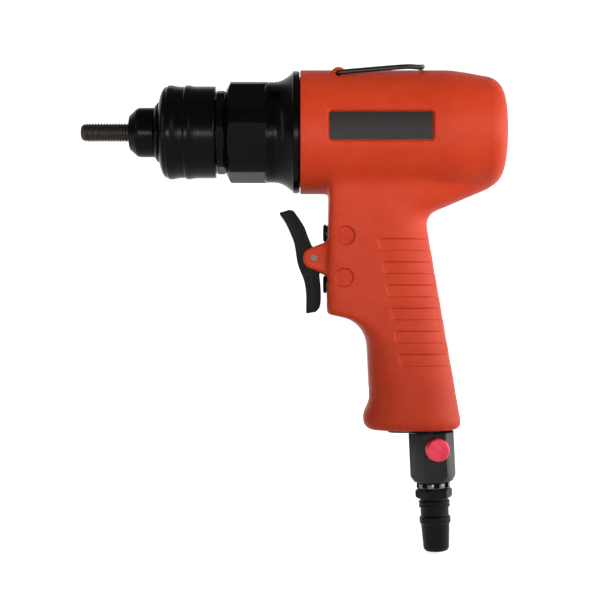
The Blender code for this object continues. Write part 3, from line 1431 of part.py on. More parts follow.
def make_slide_valve():
    """Red spool across the inlet body. Its button is at the low end of local Z, on the near side."""
    near = -INLET_FLATS / 2 - SPOOL_PROUD
    far = INLET_FLATS / 2 - 2 * GAP
    seal_at = 0.5 * (INLET_FLATS / 2 + SPOOL_WAIST_LENGTH / 2)
    half_waist = SPOOL_WAIST_LENGTH / 2
    edge = 0.5 * MM
    profile = [
        (near, 0),
        (near, SPOOL_RADIUS - edge),
        (near + edge, SPOOL_RADIUS),
        *spool_land(-seal_at),
        (-half_waist, SPOOL_RADIUS),
        (-half_waist, SPOOL_WAIST),
        (half_waist, SPOOL_WAIST),
        (half_waist, SPOOL_RADIUS),
        *spool_land(seal_at),
        (far - edge, SPOOL_RADIUS),
        (far, SPOOL_RADIUS - edge),
        (far, 0),
    ]
    turned("slide_valve", profile, red_anodised(), SPOOL_FRAME, segments=SMALL)
    seal_middle = SPOOL_RADIUS - SEAL_RADIUS - SEAL_SQUEEZE_CLEARANCE / 2
    for name, along in (("near_valve_seal", -seal_at), ("far_valve_seal", seal_at)):
        section = arc((along, seal_middle), SEAL_RADIUS, 0, 288, 4)
        turned(name, section, rubber(), SPOOL_FRAME, segments=SMALL, ring=True)


def make_air_plug():
    """Quick-release plug that screws into the inlet body, and the bright ring between them."""
    ring_start = -INLET_END - GAP
    ring_end = ring_start - SWIVEL_RING_LENGTH
    inner = PLUG_THREAD_RADIUS + GAP
    ring_between("plug_ring", ring_end, ring_start, inner, SWIVEL_RING_RADIUS, bright_steel(), INLET_FRAME)
    hex_top = ring_end - GAP
    hex_end = hex_top - PLUG_HEX_LENGTH
    neck_end = hex_end - PLUG_NECK_LENGTH
    collar_end = neck_end - PLUG_COLLAR_LENGTH
    groove_end = collar_end - PLUG_GROOVE_LENGTH
    ridge_end = groove_end - PLUG_COLLAR_LENGTH
    tip = ridge_end - PLUG_NOSE_LENGTH
    edge = PLUG_EDGE
    profile = [
        (-INLET_END + PLUG_THREAD_LENGTH, PLUG_THREAD_RADIUS),
        (hex_end + MM, PLUG_THREAD_RADIUS),
        (hex_end + MM, PLUG_NECK_RADIUS),
        (neck_end, PLUG_NECK_RADIUS),
        (neck_end, PLUG_COLLAR_RADIUS),
        (collar_end + edge, PLUG_COLLAR_RADIUS),
        (collar_end, PLUG_GROOVE_RADIUS),
        (groove_end + edge, PLUG_GROOVE_RADIUS),
        (groove_end, PLUG_COLLAR_RADIUS),
        (ridge_end, PLUG_COLLAR_RADIUS),
        (ridge_end - edge, PLUG_GROOVE_RADIUS),
        (tip + PLUG_TIP_ROUND, PLUG_NOSE_RADIUS),
        (tip, PLUG_NOSE_RADIUS - PLUG_TIP_ROUND),
        (tip, PLUG_BORE),
        (-INLET_END + PLUG_THREAD_LENGTH, PLUG_BORE),
    ]
    plug = turned("air_plug", profile, black_plastic(), INLET_FRAME, segments=MEDIUM, ring=True)
    bore = regular(SMALL, PLUG_BORE + GAP)
    flats = hexagon(PLUG_FLATS)
    join(plug, extruded("plug_hex_add", flats, hex_end, hex_top, place=INLET_FRAME, holes=[bore]))


def make_bail():
    """Wire loop that hangs the tool, lying back on the barrel."""
    side = BAIL_SIDE
    crown = BARREL_RADIUS + BAIL_WIRE + GAP - BAIL_HEIGHT
    shoulder = BAIL_SHOULDER_RISE
    inside = BAIL_BOSS_SIDE - BAIL_PIN_DEPTH
    half = [
        (0, inside, 0),
        (0, side - 2.2 * MM, 0),
        (0.5 * MM, side - 0.5 * MM, 0),
        (2.2 * MM, side, 0.3 * MM),
        (0.45 * BAIL_LENGTH, side, 0.62 * shoulder),
        (0.78 * BAIL_LENGTH, side - 0.3 * MM, shoulder),
        (0.93 * BAIL_LENGTH, side - 2.4 * MM, shoulder + 0.1 * (crown - shoulder)),
        (0.985 * BAIL_LENGTH, side - 6 * MM, shoulder + 0.45 * (crown - shoulder)),
        (BAIL_LENGTH, side - 9 * MM, shoulder + 0.78 * (crown - shoulder)),
    ]
    whole = half + [(BAIL_LENGTH, 0, crown)] + [(x, -y, z) for x, y, z in reversed(half)]
    place = Matrix.Translation((BAIL_X, 0, BAIL_HEIGHT))
    tube("bail", smooth_run(whole, 2), BAIL_WIRE, BAIL_WIRE_FACETS, black_steel(), place)


def main():
    clear_scene()
    mandrel_end = make_mandrel()
    bit_end = make_drive_bit(mandrel_end)
    make_thrust_washer()
    make_anvil()
    make_nose_sleeve()
    make_lock_ring()
    make_gear_case()
    make_bearings()
    make_spindle(bit_end)
    make_ring_gear()
    make_planets("output", OUTPUT_GEARS_X)
    make_input_carrier()
    make_planets("input", INPUT_GEARS_X)
    make_rotor()
    make_vanes()
    make_motor_cylinder()
    make_motor_plates()
    make_housing()
    make_trigger()
    make_valve("upper", UPPER_VALVE_Z)
    make_valve("lower", LOWER_VALVE_Z)
    silencer_box("silencer_felt", GAP, felt())
    make_exhaust_cover()
    make_inlet_body()
    make_slide_valve()
    make_air_plug()
    make_bail()


main()
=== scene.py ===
"""Looks of the pneumatic rivet nut tool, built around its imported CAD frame."""

import math

import bmesh
import bpy
from bmesh.types import BMEdge, BMFace, BMVert
from mathutils import Matrix, Vector


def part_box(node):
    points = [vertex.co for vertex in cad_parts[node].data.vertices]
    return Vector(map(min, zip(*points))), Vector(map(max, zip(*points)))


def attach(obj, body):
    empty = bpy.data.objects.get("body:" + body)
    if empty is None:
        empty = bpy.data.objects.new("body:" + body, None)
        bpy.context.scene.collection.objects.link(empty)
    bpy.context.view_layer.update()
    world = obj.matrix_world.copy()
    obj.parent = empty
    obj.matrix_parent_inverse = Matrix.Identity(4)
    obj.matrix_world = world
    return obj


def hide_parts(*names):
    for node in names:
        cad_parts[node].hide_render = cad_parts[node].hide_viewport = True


MM = 0.001
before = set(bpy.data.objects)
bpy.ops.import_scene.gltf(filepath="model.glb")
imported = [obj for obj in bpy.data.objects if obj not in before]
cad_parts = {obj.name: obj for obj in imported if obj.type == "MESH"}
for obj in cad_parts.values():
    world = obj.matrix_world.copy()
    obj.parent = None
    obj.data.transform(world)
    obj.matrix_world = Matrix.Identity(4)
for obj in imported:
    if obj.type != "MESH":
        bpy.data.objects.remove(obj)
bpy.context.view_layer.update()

# Fineness of the meshes
LATHE_STEPS = 128
SECTION_POINTS = 120
MOULD_VOXEL = 0.62 * MM
MOULD_SMOOTHING = 12
PANEL_BANDS = 24
SHARP_ANGLE = 32.0
FLAT_SHARP_ANGLE = 6.0

# Stations along the spindle axis, in millimetres from the mandrel's tip
ANVIL_FACE = 20.7
SLEEVE_START = 33.9
SLEEVE_END = 58.3
LOCK_RING_START = 58.6
LOCK_RING_END = 62.0
CASE_START = 62.3
CASE_FLATS_END = 79.5
CASE_FLARE = 83.9
CASE_FLANGE = 90.8
CASE_END = 93.8
MOUTH = 94.1
BLOCK_FACE = 105.6
HOUSING_END = 181.3
CASE_RADIUS = 21.7
FLANGE_RADIUS = 26.2
SPIGOT_RADIUS = 13.9
LOCK_RING_FLATS = 17.2
CASE_FLATS = 20.3
FLAT_TURN = -17.0

# Housing, in millimetres
BARREL_RADIUS = 26.5
BARREL_REAR_RADIUS = 24.1
BARREL_STRAIGHT = 62.5
BARREL_END_ROUND = 9.0
MOUTH_ROUND = 0.5
HANDLE_RAKE = math.radians(9.9)
HANDLE_BOTTOM = -127.5
HANDLE_WIDTH = 31.0
HANDLE_MIDDLE = 18.0
HANDLE_FRONT = 122.0
HANDLE_FRONT_SLOPE = 0.046
BOTTOM_ROUND = 3.8
FOOT_FLARE = 3.0
FOOT_SIDE_FLARE = 1.2
FOOT_HEIGHT = 8.5
FOOT_BASE = 5.5
BLOCK_BOTTOM = -78.0
BLOCK_SHELF = math.radians(12.5)
BLOCK_LEAN = 0.025
BLOCK_SOFTENING = 12.0
SHELF_ROUND = 12.5
BARREL_FILLET = 10.0
SADDLE_X = 148.5
SADDLE_HEIGHT = -40.9
SADDLE_ROUND = 6.5
WEB_SLOPE = math.radians(23.0)
WEB_END = 5.6
BLOCK_SQUARENESS = 13.0
HANDLE_SQUARENESS = 2.7
REAR_SQUARENESS = 2.3
PAD_COUNT = 6
PAD_TOP = -45.95
PAD_PITCH = 9.73
PAD_HEIGHT = 5.4
PAD_DEPTH = 0.85
PAD_REACH = 23.3
MARKS = {"R": (113.1, -44.9), "L": (112.5, -62.6)}
MARK_RADIUS = 4.25
MARK_FLOOR = 14.35
LETTER_SIZE = 7.6
LETTER_RISE = 0.4

# Trigger, valves and bail, in millimetres
PIN_X = 99.8
PIN_HEIGHT = -54.3
PIN_RADIUS = 1.45
EAR_INNER = 7.4
EAR_OUTER = 11.4
EAR_RADIUS = 4.7
HUB_RADIUS = 3.45
VALVE_BORE = 6.1
VALVE_HEIGHTS = {"upper": -43.3, "lower": -65.3}
BAIL_X = 110.3
BAIL_HEIGHT = 23.4
BAIL_SIDE = 15.102
BAIL_BOSS_SIDE = 13.602
BAIL_BOSS_RADIUS = 3.15
BAIL_WIRE = 1.05
BAIL_CLEARANCE = 0.25
BAIL_SHOULDER = 2.5
BAIL_REACH = 35.9

# Inlet, in millimetres and degrees
INLET_X = 150.3
INLET_FLATS = 8.5
HEXAGON_TURN = -3.5
PLUG_FLATS = 7.0
COVER_THICKNESS = 0.5
COVER_STEM_RADIUS = 7.3

# Turns the X axis across the tool
ACROSS = Matrix.Rotation(math.radians(90), 4, "Z")

# Places of the inlet's pieces: local X runs down the inlet, and down the slide valve away from its button
INLET_FRAME = (
    Matrix.Translation((INLET_X * MM, 0, HANDLE_BOTTOM * MM))
    @ Matrix.Rotation(math.radians(-2.6), 4, "Y")
    @ Matrix.Rotation(math.radians(7.3), 4, "Z")
)
DOWN_INLET = INLET_FRAME @ Matrix.Rotation(math.radians(90), 4, "Y")
SPOOL_PLACE = INLET_FRAME @ Matrix.Translation((0, 0, -7.9 * MM))
ALONG_SPOOL = SPOOL_PLACE @ ACROSS


def linear(channel):
    """One 0-255 colour channel as the linear value that a shader takes."""
    share = channel / 255
    return share / 12.92 if share <= 0.04045 else ((share + 0.055) / 1.055) ** 2.4


def colour(red, green, blue):
    return (linear(red), linear(green), linear(blue), 1)


# Finishes


def add_node(tree, kind, inputs, **settings):
    """A new shader node. An input that is another node's output is linked, and any other is set."""
    made = tree.nodes.new(kind)
    for key, value in settings.items():
        setattr(made, key, value)
    for key, value in inputs.items():
        if isinstance(value, bpy.types.NodeSocket):
            tree.links.new(value, made.inputs[key])
        else:
            made.inputs[key].default_value = value
    return made


class Finish:
    """A node material that reads Object coordinates, with helpers to add its layers."""

    def __init__(self, name, base, roughness, metallic=0.0, gleam=0.5):
        self.material = bpy.data.materials.new(name)
        self.material.use_nodes = True
        self.tree = self.material.node_tree
        self.surface = self.tree.nodes["Principled BSDF"].inputs
        self.surface["Base Color"].default_value = base
        self.surface["Roughness"].default_value = roughness
        self.surface["Metallic"].default_value = metallic
        self.surface["Specular IOR Level"].default_value = gleam
        self.place = self.tree.nodes.new("ShaderNodeTexCoord").outputs["Object"]
        self.bumps = None

    def stretched(self, scale):
        """Object coordinates stretched along some axes, for brushed and turned marks."""
        mapping = add_node(self.tree, "ShaderNodeMapping", {"Scale": scale, "Vector": self.place})
        return mapping.outputs["Vector"]

    def noise(self, size, detail=3.0, roughness=0.55, place=None):
        """Noise whose features are about this many millimetres across."""
        inputs = {"Scale": 1 / (size * MM), "Detail": detail, "Roughness": roughness}
        inputs["Vector"] = place or self.place
        return add_node(self.tree, "ShaderNodeTexNoise", inputs).outputs["Fac"]

    def ramp(self, value, stops):
        made = add_node(self.tree, "ShaderNodeValToRGB", {"Fac": value})
        elements = made.color_ramp.elements
        while len(elements) < len(stops):
            elements.new(0.5)
        for element, (position, shade) in zip(elements, stops):
            element.position = position
            element.color = shade
        return made.outputs["Color"]

    def mapped(self, value, low, high):
        """Noise, which mostly runs from 0.3 to 0.7, spread between two values."""
        inputs = {"Value": value, "From Min": 0.3, "From Max": 0.7, "To Min": low, "To Max": high}
        return add_node(self.tree, "ShaderNodeMapRange", inputs).outputs["Result"]

    def blend(self, factor, first, second, kind="MIX"):
        inputs = {0: factor, 6: first, 7: second}
        made = add_node(self.tree, "ShaderNodeMix", inputs, data_type="RGBA", blend_type=kind)
        return made.outputs[2]

    def paint(self, shade):
        self.tree.links.new(shade, self.surface["Base Color"])

    def rough(self, value):
        self.tree.links.new(value, self.surface["Roughness"])

    def bump(self, height, distance, strength):
        """A bump of this many millimetres, on top of the earlier ones."""
        inputs = {"Distance": distance * MM, "Strength": strength, "Height": height}
        if self.bumps is not None:
            inputs["Normal"] = self.bumps
        self.bumps = add_node(self.tree, "ShaderNodeBump", inputs).outputs["Normal"]
        self.tree.links.new(self.bumps, self.surface["Normal"])


def orange_moulding():
    """Matt orange housing plastic with a fine moulded grain and faint mottling."""
    finish = Finish("orange_moulding", colour(214, 64, 29), 0.5, gleam=0.22)
    mottle = finish.noise(9.0, 4.0, 0.6)
    speckle = finish.noise(0.9, 3.0, 0.6)
    base = finish.ramp(mottle, [(0.3, colour(209, 60, 26)), (0.7, colour(219, 68, 32))])
    flecks = finish.ramp(speckle, [(0.3, (0.92, 0.91, 0.9, 1)), (0.7, (1.05, 1.05, 1.05, 1))])
    finish.paint(finish.blend(1.0, base, flecks, "MULTIPLY"))
    finish.rough(finish.mapped(finish.noise(2.2, 4.0), 0.44, 0.56))
    finish.bump(finish.noise(0.5, 3.0, 0.6), 0.05, 0.5)
    finish.bump(finish.noise(2.4, 2.0), 0.06, 0.4)
    return finish.material


def blackened_steel(name="blackened_steel", base=(4, 4, 4), lift=5, gloss=0.22, gleam=0.075):
    """Turned and blackened steel: tool marks around the axis, a cloudy blue-black film and pale specks."""
    finish = Finish(name, colour(*base), gloss, gleam=gleam)
    rings = finish.noise(0.22, 2.0, 0.5, finish.stretched((1.0, 0.02, 0.02)))
    cloud = finish.noise(5.0, 5.0, 0.6)
    film = [(0.3, colour(*base)), (0.75, colour(*(c + lift for c in base)))]
    specks = finish.ramp(finish.noise(0.5, 4.0, 0.7), [(0.7, (0, 0, 0, 1)), (0.78, (1, 1, 1, 1))])
    worn = colour(*(c + 26 for c in base))
    finish.paint(finish.blend(specks, finish.ramp(cloud, film), worn))
    finish.rough(finish.mapped(rings, gloss - 0.04, gloss + 0.1))
    finish.bump(rings, 0.006, 0.4)
    finish.bump(finish.noise(1.4, 4.0), 0.004, 0.4)
    return finish.material


def dark_thread():
    """Oiled thread with brown bloom on its crests."""
    finish = Finish("thread_steel", colour(38, 34, 31), 0.42, 0.3, 0.4)
    wear = finish.noise(1.2, 5.0, 0.65)
    bloom = [(0.3, colour(30, 27, 25)), (0.6, colour(50, 43, 38)), (0.8, colour(78, 66, 58))]
    finish.paint(finish.ramp(wear, bloom))
    finish.rough(finish.mapped(wear, 0.34, 0.5))
    finish.bump(finish.noise(0.5, 3.0), 0.01, 0.5)
    return finish.material


def inlet_steel():
    """Dark plated hexagon with a satin, slightly green-grey face."""
    finish = Finish("dark_plated_steel", colour(32, 33, 30), 0.34, gleam=0.2)
    cloud = finish.noise(5.0, 5.0, 0.6)
    finish.paint(finish.ramp(cloud, [(0.3, colour(27, 28, 25)), (0.75, colour(38, 39, 35))]))
    finish.rough(finish.mapped(finish.noise(1.5, 4.0), 0.28, 0.42))
    finish.bump(finish.noise(0.35, 3.0, 0.6), 0.01, 0.5)
    return finish.material


def plug_black():
    finish = Finish("plug_black", colour(9, 10, 12), 0.4, gleam=0.12)
    cloud = finish.noise(4.0, 5.0, 0.6)
    finish.paint(finish.ramp(cloud, [(0.3, colour(6, 8, 10)), (0.75, colour(14, 16, 19))]))
    finish.rough(finish.mapped(finish.noise(1.0, 4.0), 0.34, 0.5))
    finish.bump(finish.noise(0.4, 3.0), 0.012, 0.5)
    return finish.material


def trigger_plastic():
    """Black moulded lever, matt with faint lengthways scuffs."""
    finish = Finish("trigger_plastic", colour(11, 11, 10), 0.5, gleam=0.1)
    streak = finish.noise(0.8, 3.0, 0.6, finish.stretched((1.0, 1.0, 0.12)))
    finish.paint(finish.ramp(streak, [(0.3, colour(14, 14, 13)), (0.75, colour(30, 30, 27))]))
    finish.rough(finish.mapped(finish.noise(1.6, 4.0), 0.4, 0.56))
    finish.bump(finish.noise(0.45, 3.0), 0.02, 0.5)
    return finish.material


def bright_steel(name="bright_steel", low=(150, 150, 148), high=(184, 184, 182), gloss=0.24):
    """Machined steel, brushed across its axis."""
    finish = Finish(name, colour(*low), gloss, 1.0)
    brushed = finish.noise(0.3, 3.0, 0.6, finish.stretched((0.2, 1.0, 1.0)))
    finish.paint(finish.ramp(brushed, [(0.3, colour(*low)), (0.75, colour(*high))]))
    finish.rough(finish.mapped(brushed, gloss - 0.06, gloss + 0.1))
    finish.bump(brushed, 0.008, 0.4)
    return finish.material


def bare_plate():
    """Dark anodised name plate, finely brushed along its length."""
    finish = Finish("bare_plate", colour(38, 36, 34), 0.34, 0.1, 0.25)
    brushed = finish.noise(0.2, 3.0, 0.6, finish.stretched((0.04, 1.0, 1.0)))
    cloud = finish.noise(7.0, 3.0, 0.5)
    grain = finish.ramp(brushed, [(0.3, colour(38, 36, 34)), (0.75, colour(52, 49, 46))])
    shade = finish.ramp(cloud, [(0.3, (0.9, 0.92, 0.95, 1)), (0.7, (1.06, 1.04, 1.0, 1))])
    finish.paint(finish.blend(1.0, grain, shade, "MULTIPLY"))
    finish.rough(finish.mapped(brushed, 0.48, 0.62))
    finish.bump(brushed, 0.004, 0.4)
    return finish.material


def red_button():
    """Red anodised aluminium with turning rings on its face."""
    finish = Finish("red_anodised", colour(240, 62, 86), 0.34, 0.55)
    rings = finish.noise(0.25, 2.0, 0.5, finish.stretched((1.0, 0.2, 1.0)))
    cloud = finish.noise(2.4, 3.0, 0.5)
    film = finish.ramp(cloud, [(0.3, colour(232, 50, 76)), (0.7, colour(246, 78, 100))])
    marks = finish.ramp(rings, [(0.3, (0.9, 0.86, 0.88, 1)), (0.75, (1.06, 1.08, 1.08, 1))])
    finish.paint(finish.blend(1.0, film, marks, "MULTIPLY"))
    finish.rough(finish.mapped(rings, 0.28, 0.44))
    finish.bump(rings, 0.006, 0.4)
    return finish.material


def simple_metal(name, low, high, gloss, metallic=1.0, grain=1.0):
    """Machined metal of the inner pieces."""
    finish = Finish(name, colour(*low), gloss, metallic)
    cloud = finish.noise(3.0 * grain, 4.0, 0.6)
    finish.paint(finish.ramp(cloud, [(0.3, colour(*low)), (0.75, colour(*high))]))
    finish.rough(finish.mapped(finish.noise(0.8 * grain, 3.0), gloss - 0.06, gloss + 0.1))
    finish.bump(finish.noise(0.4 * grain, 3.0), 0.01, 0.5)
    return finish.material


ORANGE = orange_moulding()
BLACK = blackened_steel()
WIRE = blackened_steel("blackened_wire", (14, 12, 13), 10, 0.3, 0.4)
THREAD = dark_thread()
INLET = inlet_steel()
PLUG = plug_black()
TRIGGER = trigger_plastic()
BRIGHT = bright_steel()
# Bright steel with its colour darkened, a painted dark reflection of its surroundings.
RING_STEEL_PAINTED_DARK = bright_steel("ring_steel_painted_dark_reflection", (84, 86, 90), (112, 114, 118), 0.16)
PIN_STEEL = simple_metal("pin_steel", (122, 98, 90), (146, 118, 108), 0.5, 0.35)
PLATE = bare_plate()
RED = red_button()
GEAR_STEEL = simple_metal("gear_steel", (92, 94, 96), (120, 122, 124), 0.34)
# The plungers' collars are coloured bronze as a painted warm highlight on their blackened steel.
COLLAR_PAINTED_HIGHLIGHT = simple_metal("collar_painted_warm_highlight", (92, 74, 50), (120, 96, 64), 0.42)
BRONZE = simple_metal("bearing_bronze", (168, 128, 74), (190, 150, 92), 0.34)
VANE = simple_metal("vane_composite", (88, 62, 38), (112, 82, 52), 0.6, 0.0, 0.5)
RUBBER = simple_metal("seal_rubber", (20, 20, 20), (32, 32, 32), 0.6, 0.0, 0.5)
FELT = simple_metal("silencer_felt", (176, 172, 158), (204, 200, 188), 0.9, 0.0, 0.3)


# Workshop


def corner(points, index, radius, steps):
    """The rounded corner of a line of points, as a short curve."""
    here = Vector(points[index])
    back = Vector(points[index - 1]) - here
    ahead = Vector(points[(index + 1) % len(points)]) - here
    reach = min(radius, 0.45 * back.length, 0.45 * ahead.length)
    start = here + back.normalized() * reach
    end = here + ahead.normalized() * reach
    shares = [k / steps for k in range(steps + 1)]
    return [tuple(start.lerp(here, share).lerp(here.lerp(end, share), share)) for share in shares]


def rounded(points, radius, steps, closed=True):
    """The same outline with every corner rounded. An open line keeps its two ends."""
    line = []
    last = len(points) - 1
    for index, point in enumerate(points):
        if not closed and index in (0, last):
            line.append(tuple(point))
        else:
            line += corner(points, index, radius, steps)
    return line


def of_kind(parts, kind):
    """The vertices, edges or faces among mixed parts of a shape."""
    return [part for part in parts if isinstance(part, kind)]


def everything(shape):
    return shape.verts[:] + shape.edges[:] + shape.faces[:]


def lathe(profile, edge=0.0, steps=LATHE_STEPS, ring=True):
    """Spins (along, radius) millimetre points about the X axis, with rounded corners."""
    outline = rounded(profile, edge, 3, ring) if edge else profile
    shape = bmesh.new()
    points = [shape.verts.new((along * MM, 0, radius * MM)) for along, radius in outline]
    edges = [shape.edges.new(pair) for pair in zip(points, points[1:])]
    if ring:
        edges.append(shape.edges.new((points[-1], points[0])))
    turn = {"cent": (0, 0, 0), "axis": (1, 0, 0), "angle": 2 * math.pi}
    bmesh.ops.spin(shape, geom=points + edges, steps=steps, use_merge=True, **turn)
    bmesh.ops.remove_doubles(shape, verts=shape.verts, dist=1e-7)
    bmesh.ops.recalc_face_normals(shape, faces=shape.faces)
    return shape


def slice_off(shape, place, outward):
    """Cuts away what lies beyond a plane, closes the cut, and gives the new faces."""
    plane = {"plane_co": place, "plane_no": outward, "clear_outer": True}
    cut = bmesh.ops.bisect_plane(shape, geom=everything(shape), dist=1e-7, **plane)
    return bmesh.ops.contextual_create(shape, geom=of_kind(cut["geom_cut"], BMEdge))["faces"]


def mill_flats(shape, flats, turn):
    """Mills six flats this far from the axis on a solid bar."""
    for side in range(6):
        angle = math.radians(turn + 60 * side)
        outward = Vector((0, -math.cos(angle), math.sin(angle)))
        slice_off(shape, outward * flats * MM, outward)
    return shape


def bevel(shape, edges, width, segments):
    how = {"offset_type": "OFFSET", "affect": "EDGES", "profile": 0.5, "clamp_overlap": True, "material": -1}
    bmesh.ops.bevel(shape, geom=edges, offset=width * MM, segments=segments, **how)


def soften(shape, width, angle=25.0, segments=2):
    """Bevels the sharp edges by this many millimetres."""
    limit = math.radians(angle)
    edges = [edge for edge in shape.edges if edge.is_manifold and edge.calc_face_angle() > limit]
    bevel(shape, edges, width, segments)
    return shape


def slab(outline, push):
    """A flat outline of points pushed along a vector, all in metres."""
    shape = bmesh.new()
    face = shape.faces.new([shape.verts.new(point) for point in outline])
    grown = bmesh.ops.extrude_face_region(shape, geom=[face])
    bmesh.ops.translate(shape, verts=of_kind(grown["geom"], BMVert), vec=push)
    bmesh.ops.recalc_face_normals(shape, faces=shape.faces)
    return shape


def pushed(outline, low, high):
    """A flat outline in X and Z, in millimetres, pushed along Y."""
    return slab([(x * MM, low * MM, z * MM) for x, z in outline], (0, (high - low) * MM, 0))


def block(size, place):
    """A box of this many millimetres, at a place."""
    shape = bmesh.new()
    bmesh.ops.create_cube(shape, size=1.0, matrix=Matrix.Diagonal((*(side * MM for side in size), 1)))
    shape.transform(place)
    return shape


def rod(start, end, radius, steps=48):
    """A plain round rod between two points, in millimetres."""
    run = Vector(end) - Vector(start)
    place = Matrix.Translation(Vector(start) * MM) @ run.to_track_quat("X", "Z").to_matrix().to_4x4()
    shape = lathe([(0, 0), (0, radius), (run.length, radius), (run.length, 0)], 0, steps, ring=False)
    shape.transform(place)
    return shape


def merged(*shapes):
    """Several shapes as one, with the others emptied into the first."""
    first = shapes[0]
    for other in shapes[1:]:
        held = bpy.data.meshes.new("held")
        other.to_mesh(held)
        other.free()
        first.from_mesh(held)
        bpy.data.meshes.remove(held)
    return first


def smooth(mesh, sharp):
    mesh.shade_smooth()
    mesh.set_sharp_from_angle(angle=math.radians(sharp))


def shown(shape, name, place=None, sharp=SHARP_ANGLE):
    """Turns a shape into a smooth-shaded object with its place in its mesh."""
    if place is not None:
        shape.transform(place)
    mesh = bpy.data.meshes.new(name)
    shape.to_mesh(mesh)
    shape.free()
    smooth(mesh, sharp)
    thing = bpy.data.objects.new(name, mesh)
    bpy.context.collection.objects.link(thing)
    return thing


def evaluated(thing):
    """A new mesh of what an object shows, with its curve turned to faces and its modifiers applied."""
    graph = bpy.context.evaluated_depsgraph_get()
    return bpy.data.meshes.new_from_object(thing.evaluated_get(graph), depsgraph=graph)


def curve_shape(curve):
    """The faces of a text or a curve as a shape."""
    holder = bpy.data.objects.new(curve.name, curve)
    bpy.context.collection.objects.link(holder)
    mesh = evaluated(holder)
    bpy.data.objects.remove(holder)
    shape = bmesh.new()
    shape.from_mesh(mesh)
    bpy.data.meshes.remove(mesh)
    bmesh.ops.remove_doubles(shape, verts=shape.verts, dist=1e-7)
    return shape


def settle(thing):
    """Applies an object's modifiers to its mesh."""
    mesh = evaluated(thing)
    thing.modifiers.clear()
    thing.data = mesh
    smooth(mesh, SHARP_ANGLE)


def carve(thing, cutter, operation="DIFFERENCE"):
    """Cuts a shape out of an object, or joins it or keeps what they share, and drops the cutter."""
    tool = shown(cutter, "cutter")
    step = thing.modifiers.new("carve", "BOOLEAN")
    step.operation = operation
    step.solver = "EXACT"
    step.object = tool
    settle(thing)
    bpy.data.objects.remove(tool)


def dress(thing, finish, slot, body, *nodes):
    """Gives a piece its finish and its body, and hides the CAD nodes that it stands for."""
    thing.data.materials.clear()
    thing.data.materials.append(finish)
    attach(thing, body)
    if nodes:
        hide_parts(*nodes)


# Front end


def threaded_mandrel():
    """M8 coarse thread with a rounded tip."""
    pitch = 1.25
    crest, root = 3.98, 3.5
    tooth = [(0.0, root), (0.14, root), (0.5, crest), (0.72, crest), (1.1, root), (pitch, root)]
    turns = 19
    steps = 40
    shape = bmesh.new()
    start = -1.5 * pitch
    finish = start + (turns + 1) * pitch
    points = [shape.verts.new(((start + along) * MM, 0, radius * MM)) for along, radius in tooth]
    edges = [shape.edges.new(pair) for pair in zip(points, points[1:])]
    bmesh.ops.spin(
        shape,
        geom=points + edges,
        cent=(0, 0, 0),
        axis=(1, 0, 0),
        dvec=(pitch * MM / steps, 0, 0),
        angle=2 * math.pi * turns,
        steps=steps * turns,
    )
    bmesh.ops.remove_doubles(shape, verts=shape.verts, dist=2e-6)
    rims = [edge for edge in shape.edges if edge.is_boundary]
    grown = bmesh.ops.extrude_edge_only(shape, edges=rims)
    tips = of_kind(grown["geom"], BMVert)
    middle = 0.5 * (start + finish) * MM
    front = [point for point in tips if point.co.x < middle]
    rear = [point for point in tips if point.co.x > middle]
    bmesh.ops.pointmerge(shape, verts=front, merge_co=(start * MM, 0, 0))
    bmesh.ops.pointmerge(shape, verts=rear, merge_co=(finish * MM, 0, 0))
    bmesh.ops.recalc_face_normals(shape, faces=shape.faces)
    mandrel = shown(shape, "threaded_mandrel")
    dome = [
        (0.0, 0.0), (0.0, 2.3), (0.25, 2.85), (0.8, 3.35), (1.7, 3.7), (2.8, 3.95), (3.0, 4.2),
        (21.2, 4.2), (21.2, 0.0),
    ]
    carve(mandrel, lathe(dome, 0, 64, ring=False), "INTERSECT")
    shank = [
        (21.1, 0.0), (21.1, 3.6), (36.5, 3.6), (36.5, 6.5), (44.5, 6.5), (44.5, 3.4), (39.5, 3.4),
        (39.5, 0.0),
    ]
    rest = shown(lathe(shank, 0, 64, ring=False), "mandrel_head")
    dress(mandrel, THREAD, "dark_plated_steel", "spindle", "mandrel")
    dress(rest, THREAD, "dark_plated_steel", "spindle")


def anvil_and_nut():
    """Anvil with a straight cone run into its barrel, and the chamfered ring nut behind it."""
    cone = [
        (ANVIL_FACE, 4.3), (ANVIL_FACE, 6.5), (21.0, 7.5), (24.2, 10.3), (25.1, 10.6), (26.0, 10.65),
        (31.6, 10.65), (31.6, 9.0), (42.1, 9.0), (42.1, 6.8), (34.9, 6.8), (34.9, 4.3),
    ]
    dress(shown(lathe(cone, 0.25), "coned_anvil"), BLACK, "blackened_steel", "housing", "anvil")
    nut = [(31.9, 9.3), (31.9, 11.5), (33.1, 12.9), (33.6, 12.9), (33.6, 9.3)]
    dress(shown(lathe(nut, 0.2), "anvil_nut_ring"), BLACK, "blackened_steel", "housing", "anvil_lock_nut")


def banded_sleeve():
    """Nose sleeve with two crested bands, a groove between them and a nearly square rear rim."""
    profile = [
        (SLEEVE_START, 9.3), (SLEEVE_START, 13.2), (34.2, 15.4), (34.8, 17.2), (35.5, 18.6),
        (36.1, 19.25), (37.3, 19.7), (37.9, 20.2), (39.7, 20.2), (41.3, 19.75), (42.9, 19.6),
        (44.8, 19.6), (45.3, 20.15), (46.9, 20.2), (48.2, 19.85), (49.6, 19.7), (57.6, 19.7),
        (58.1, 19.5), (SLEEVE_END, 19.1), (SLEEVE_END, 14.2), (43.5, 14.2), (43.5, 9.3),
    ]
    dress(shown(lathe(profile, 0.22), "banded_sleeve"), BLACK, "blackened_steel", "housing", "nose_sleeve")


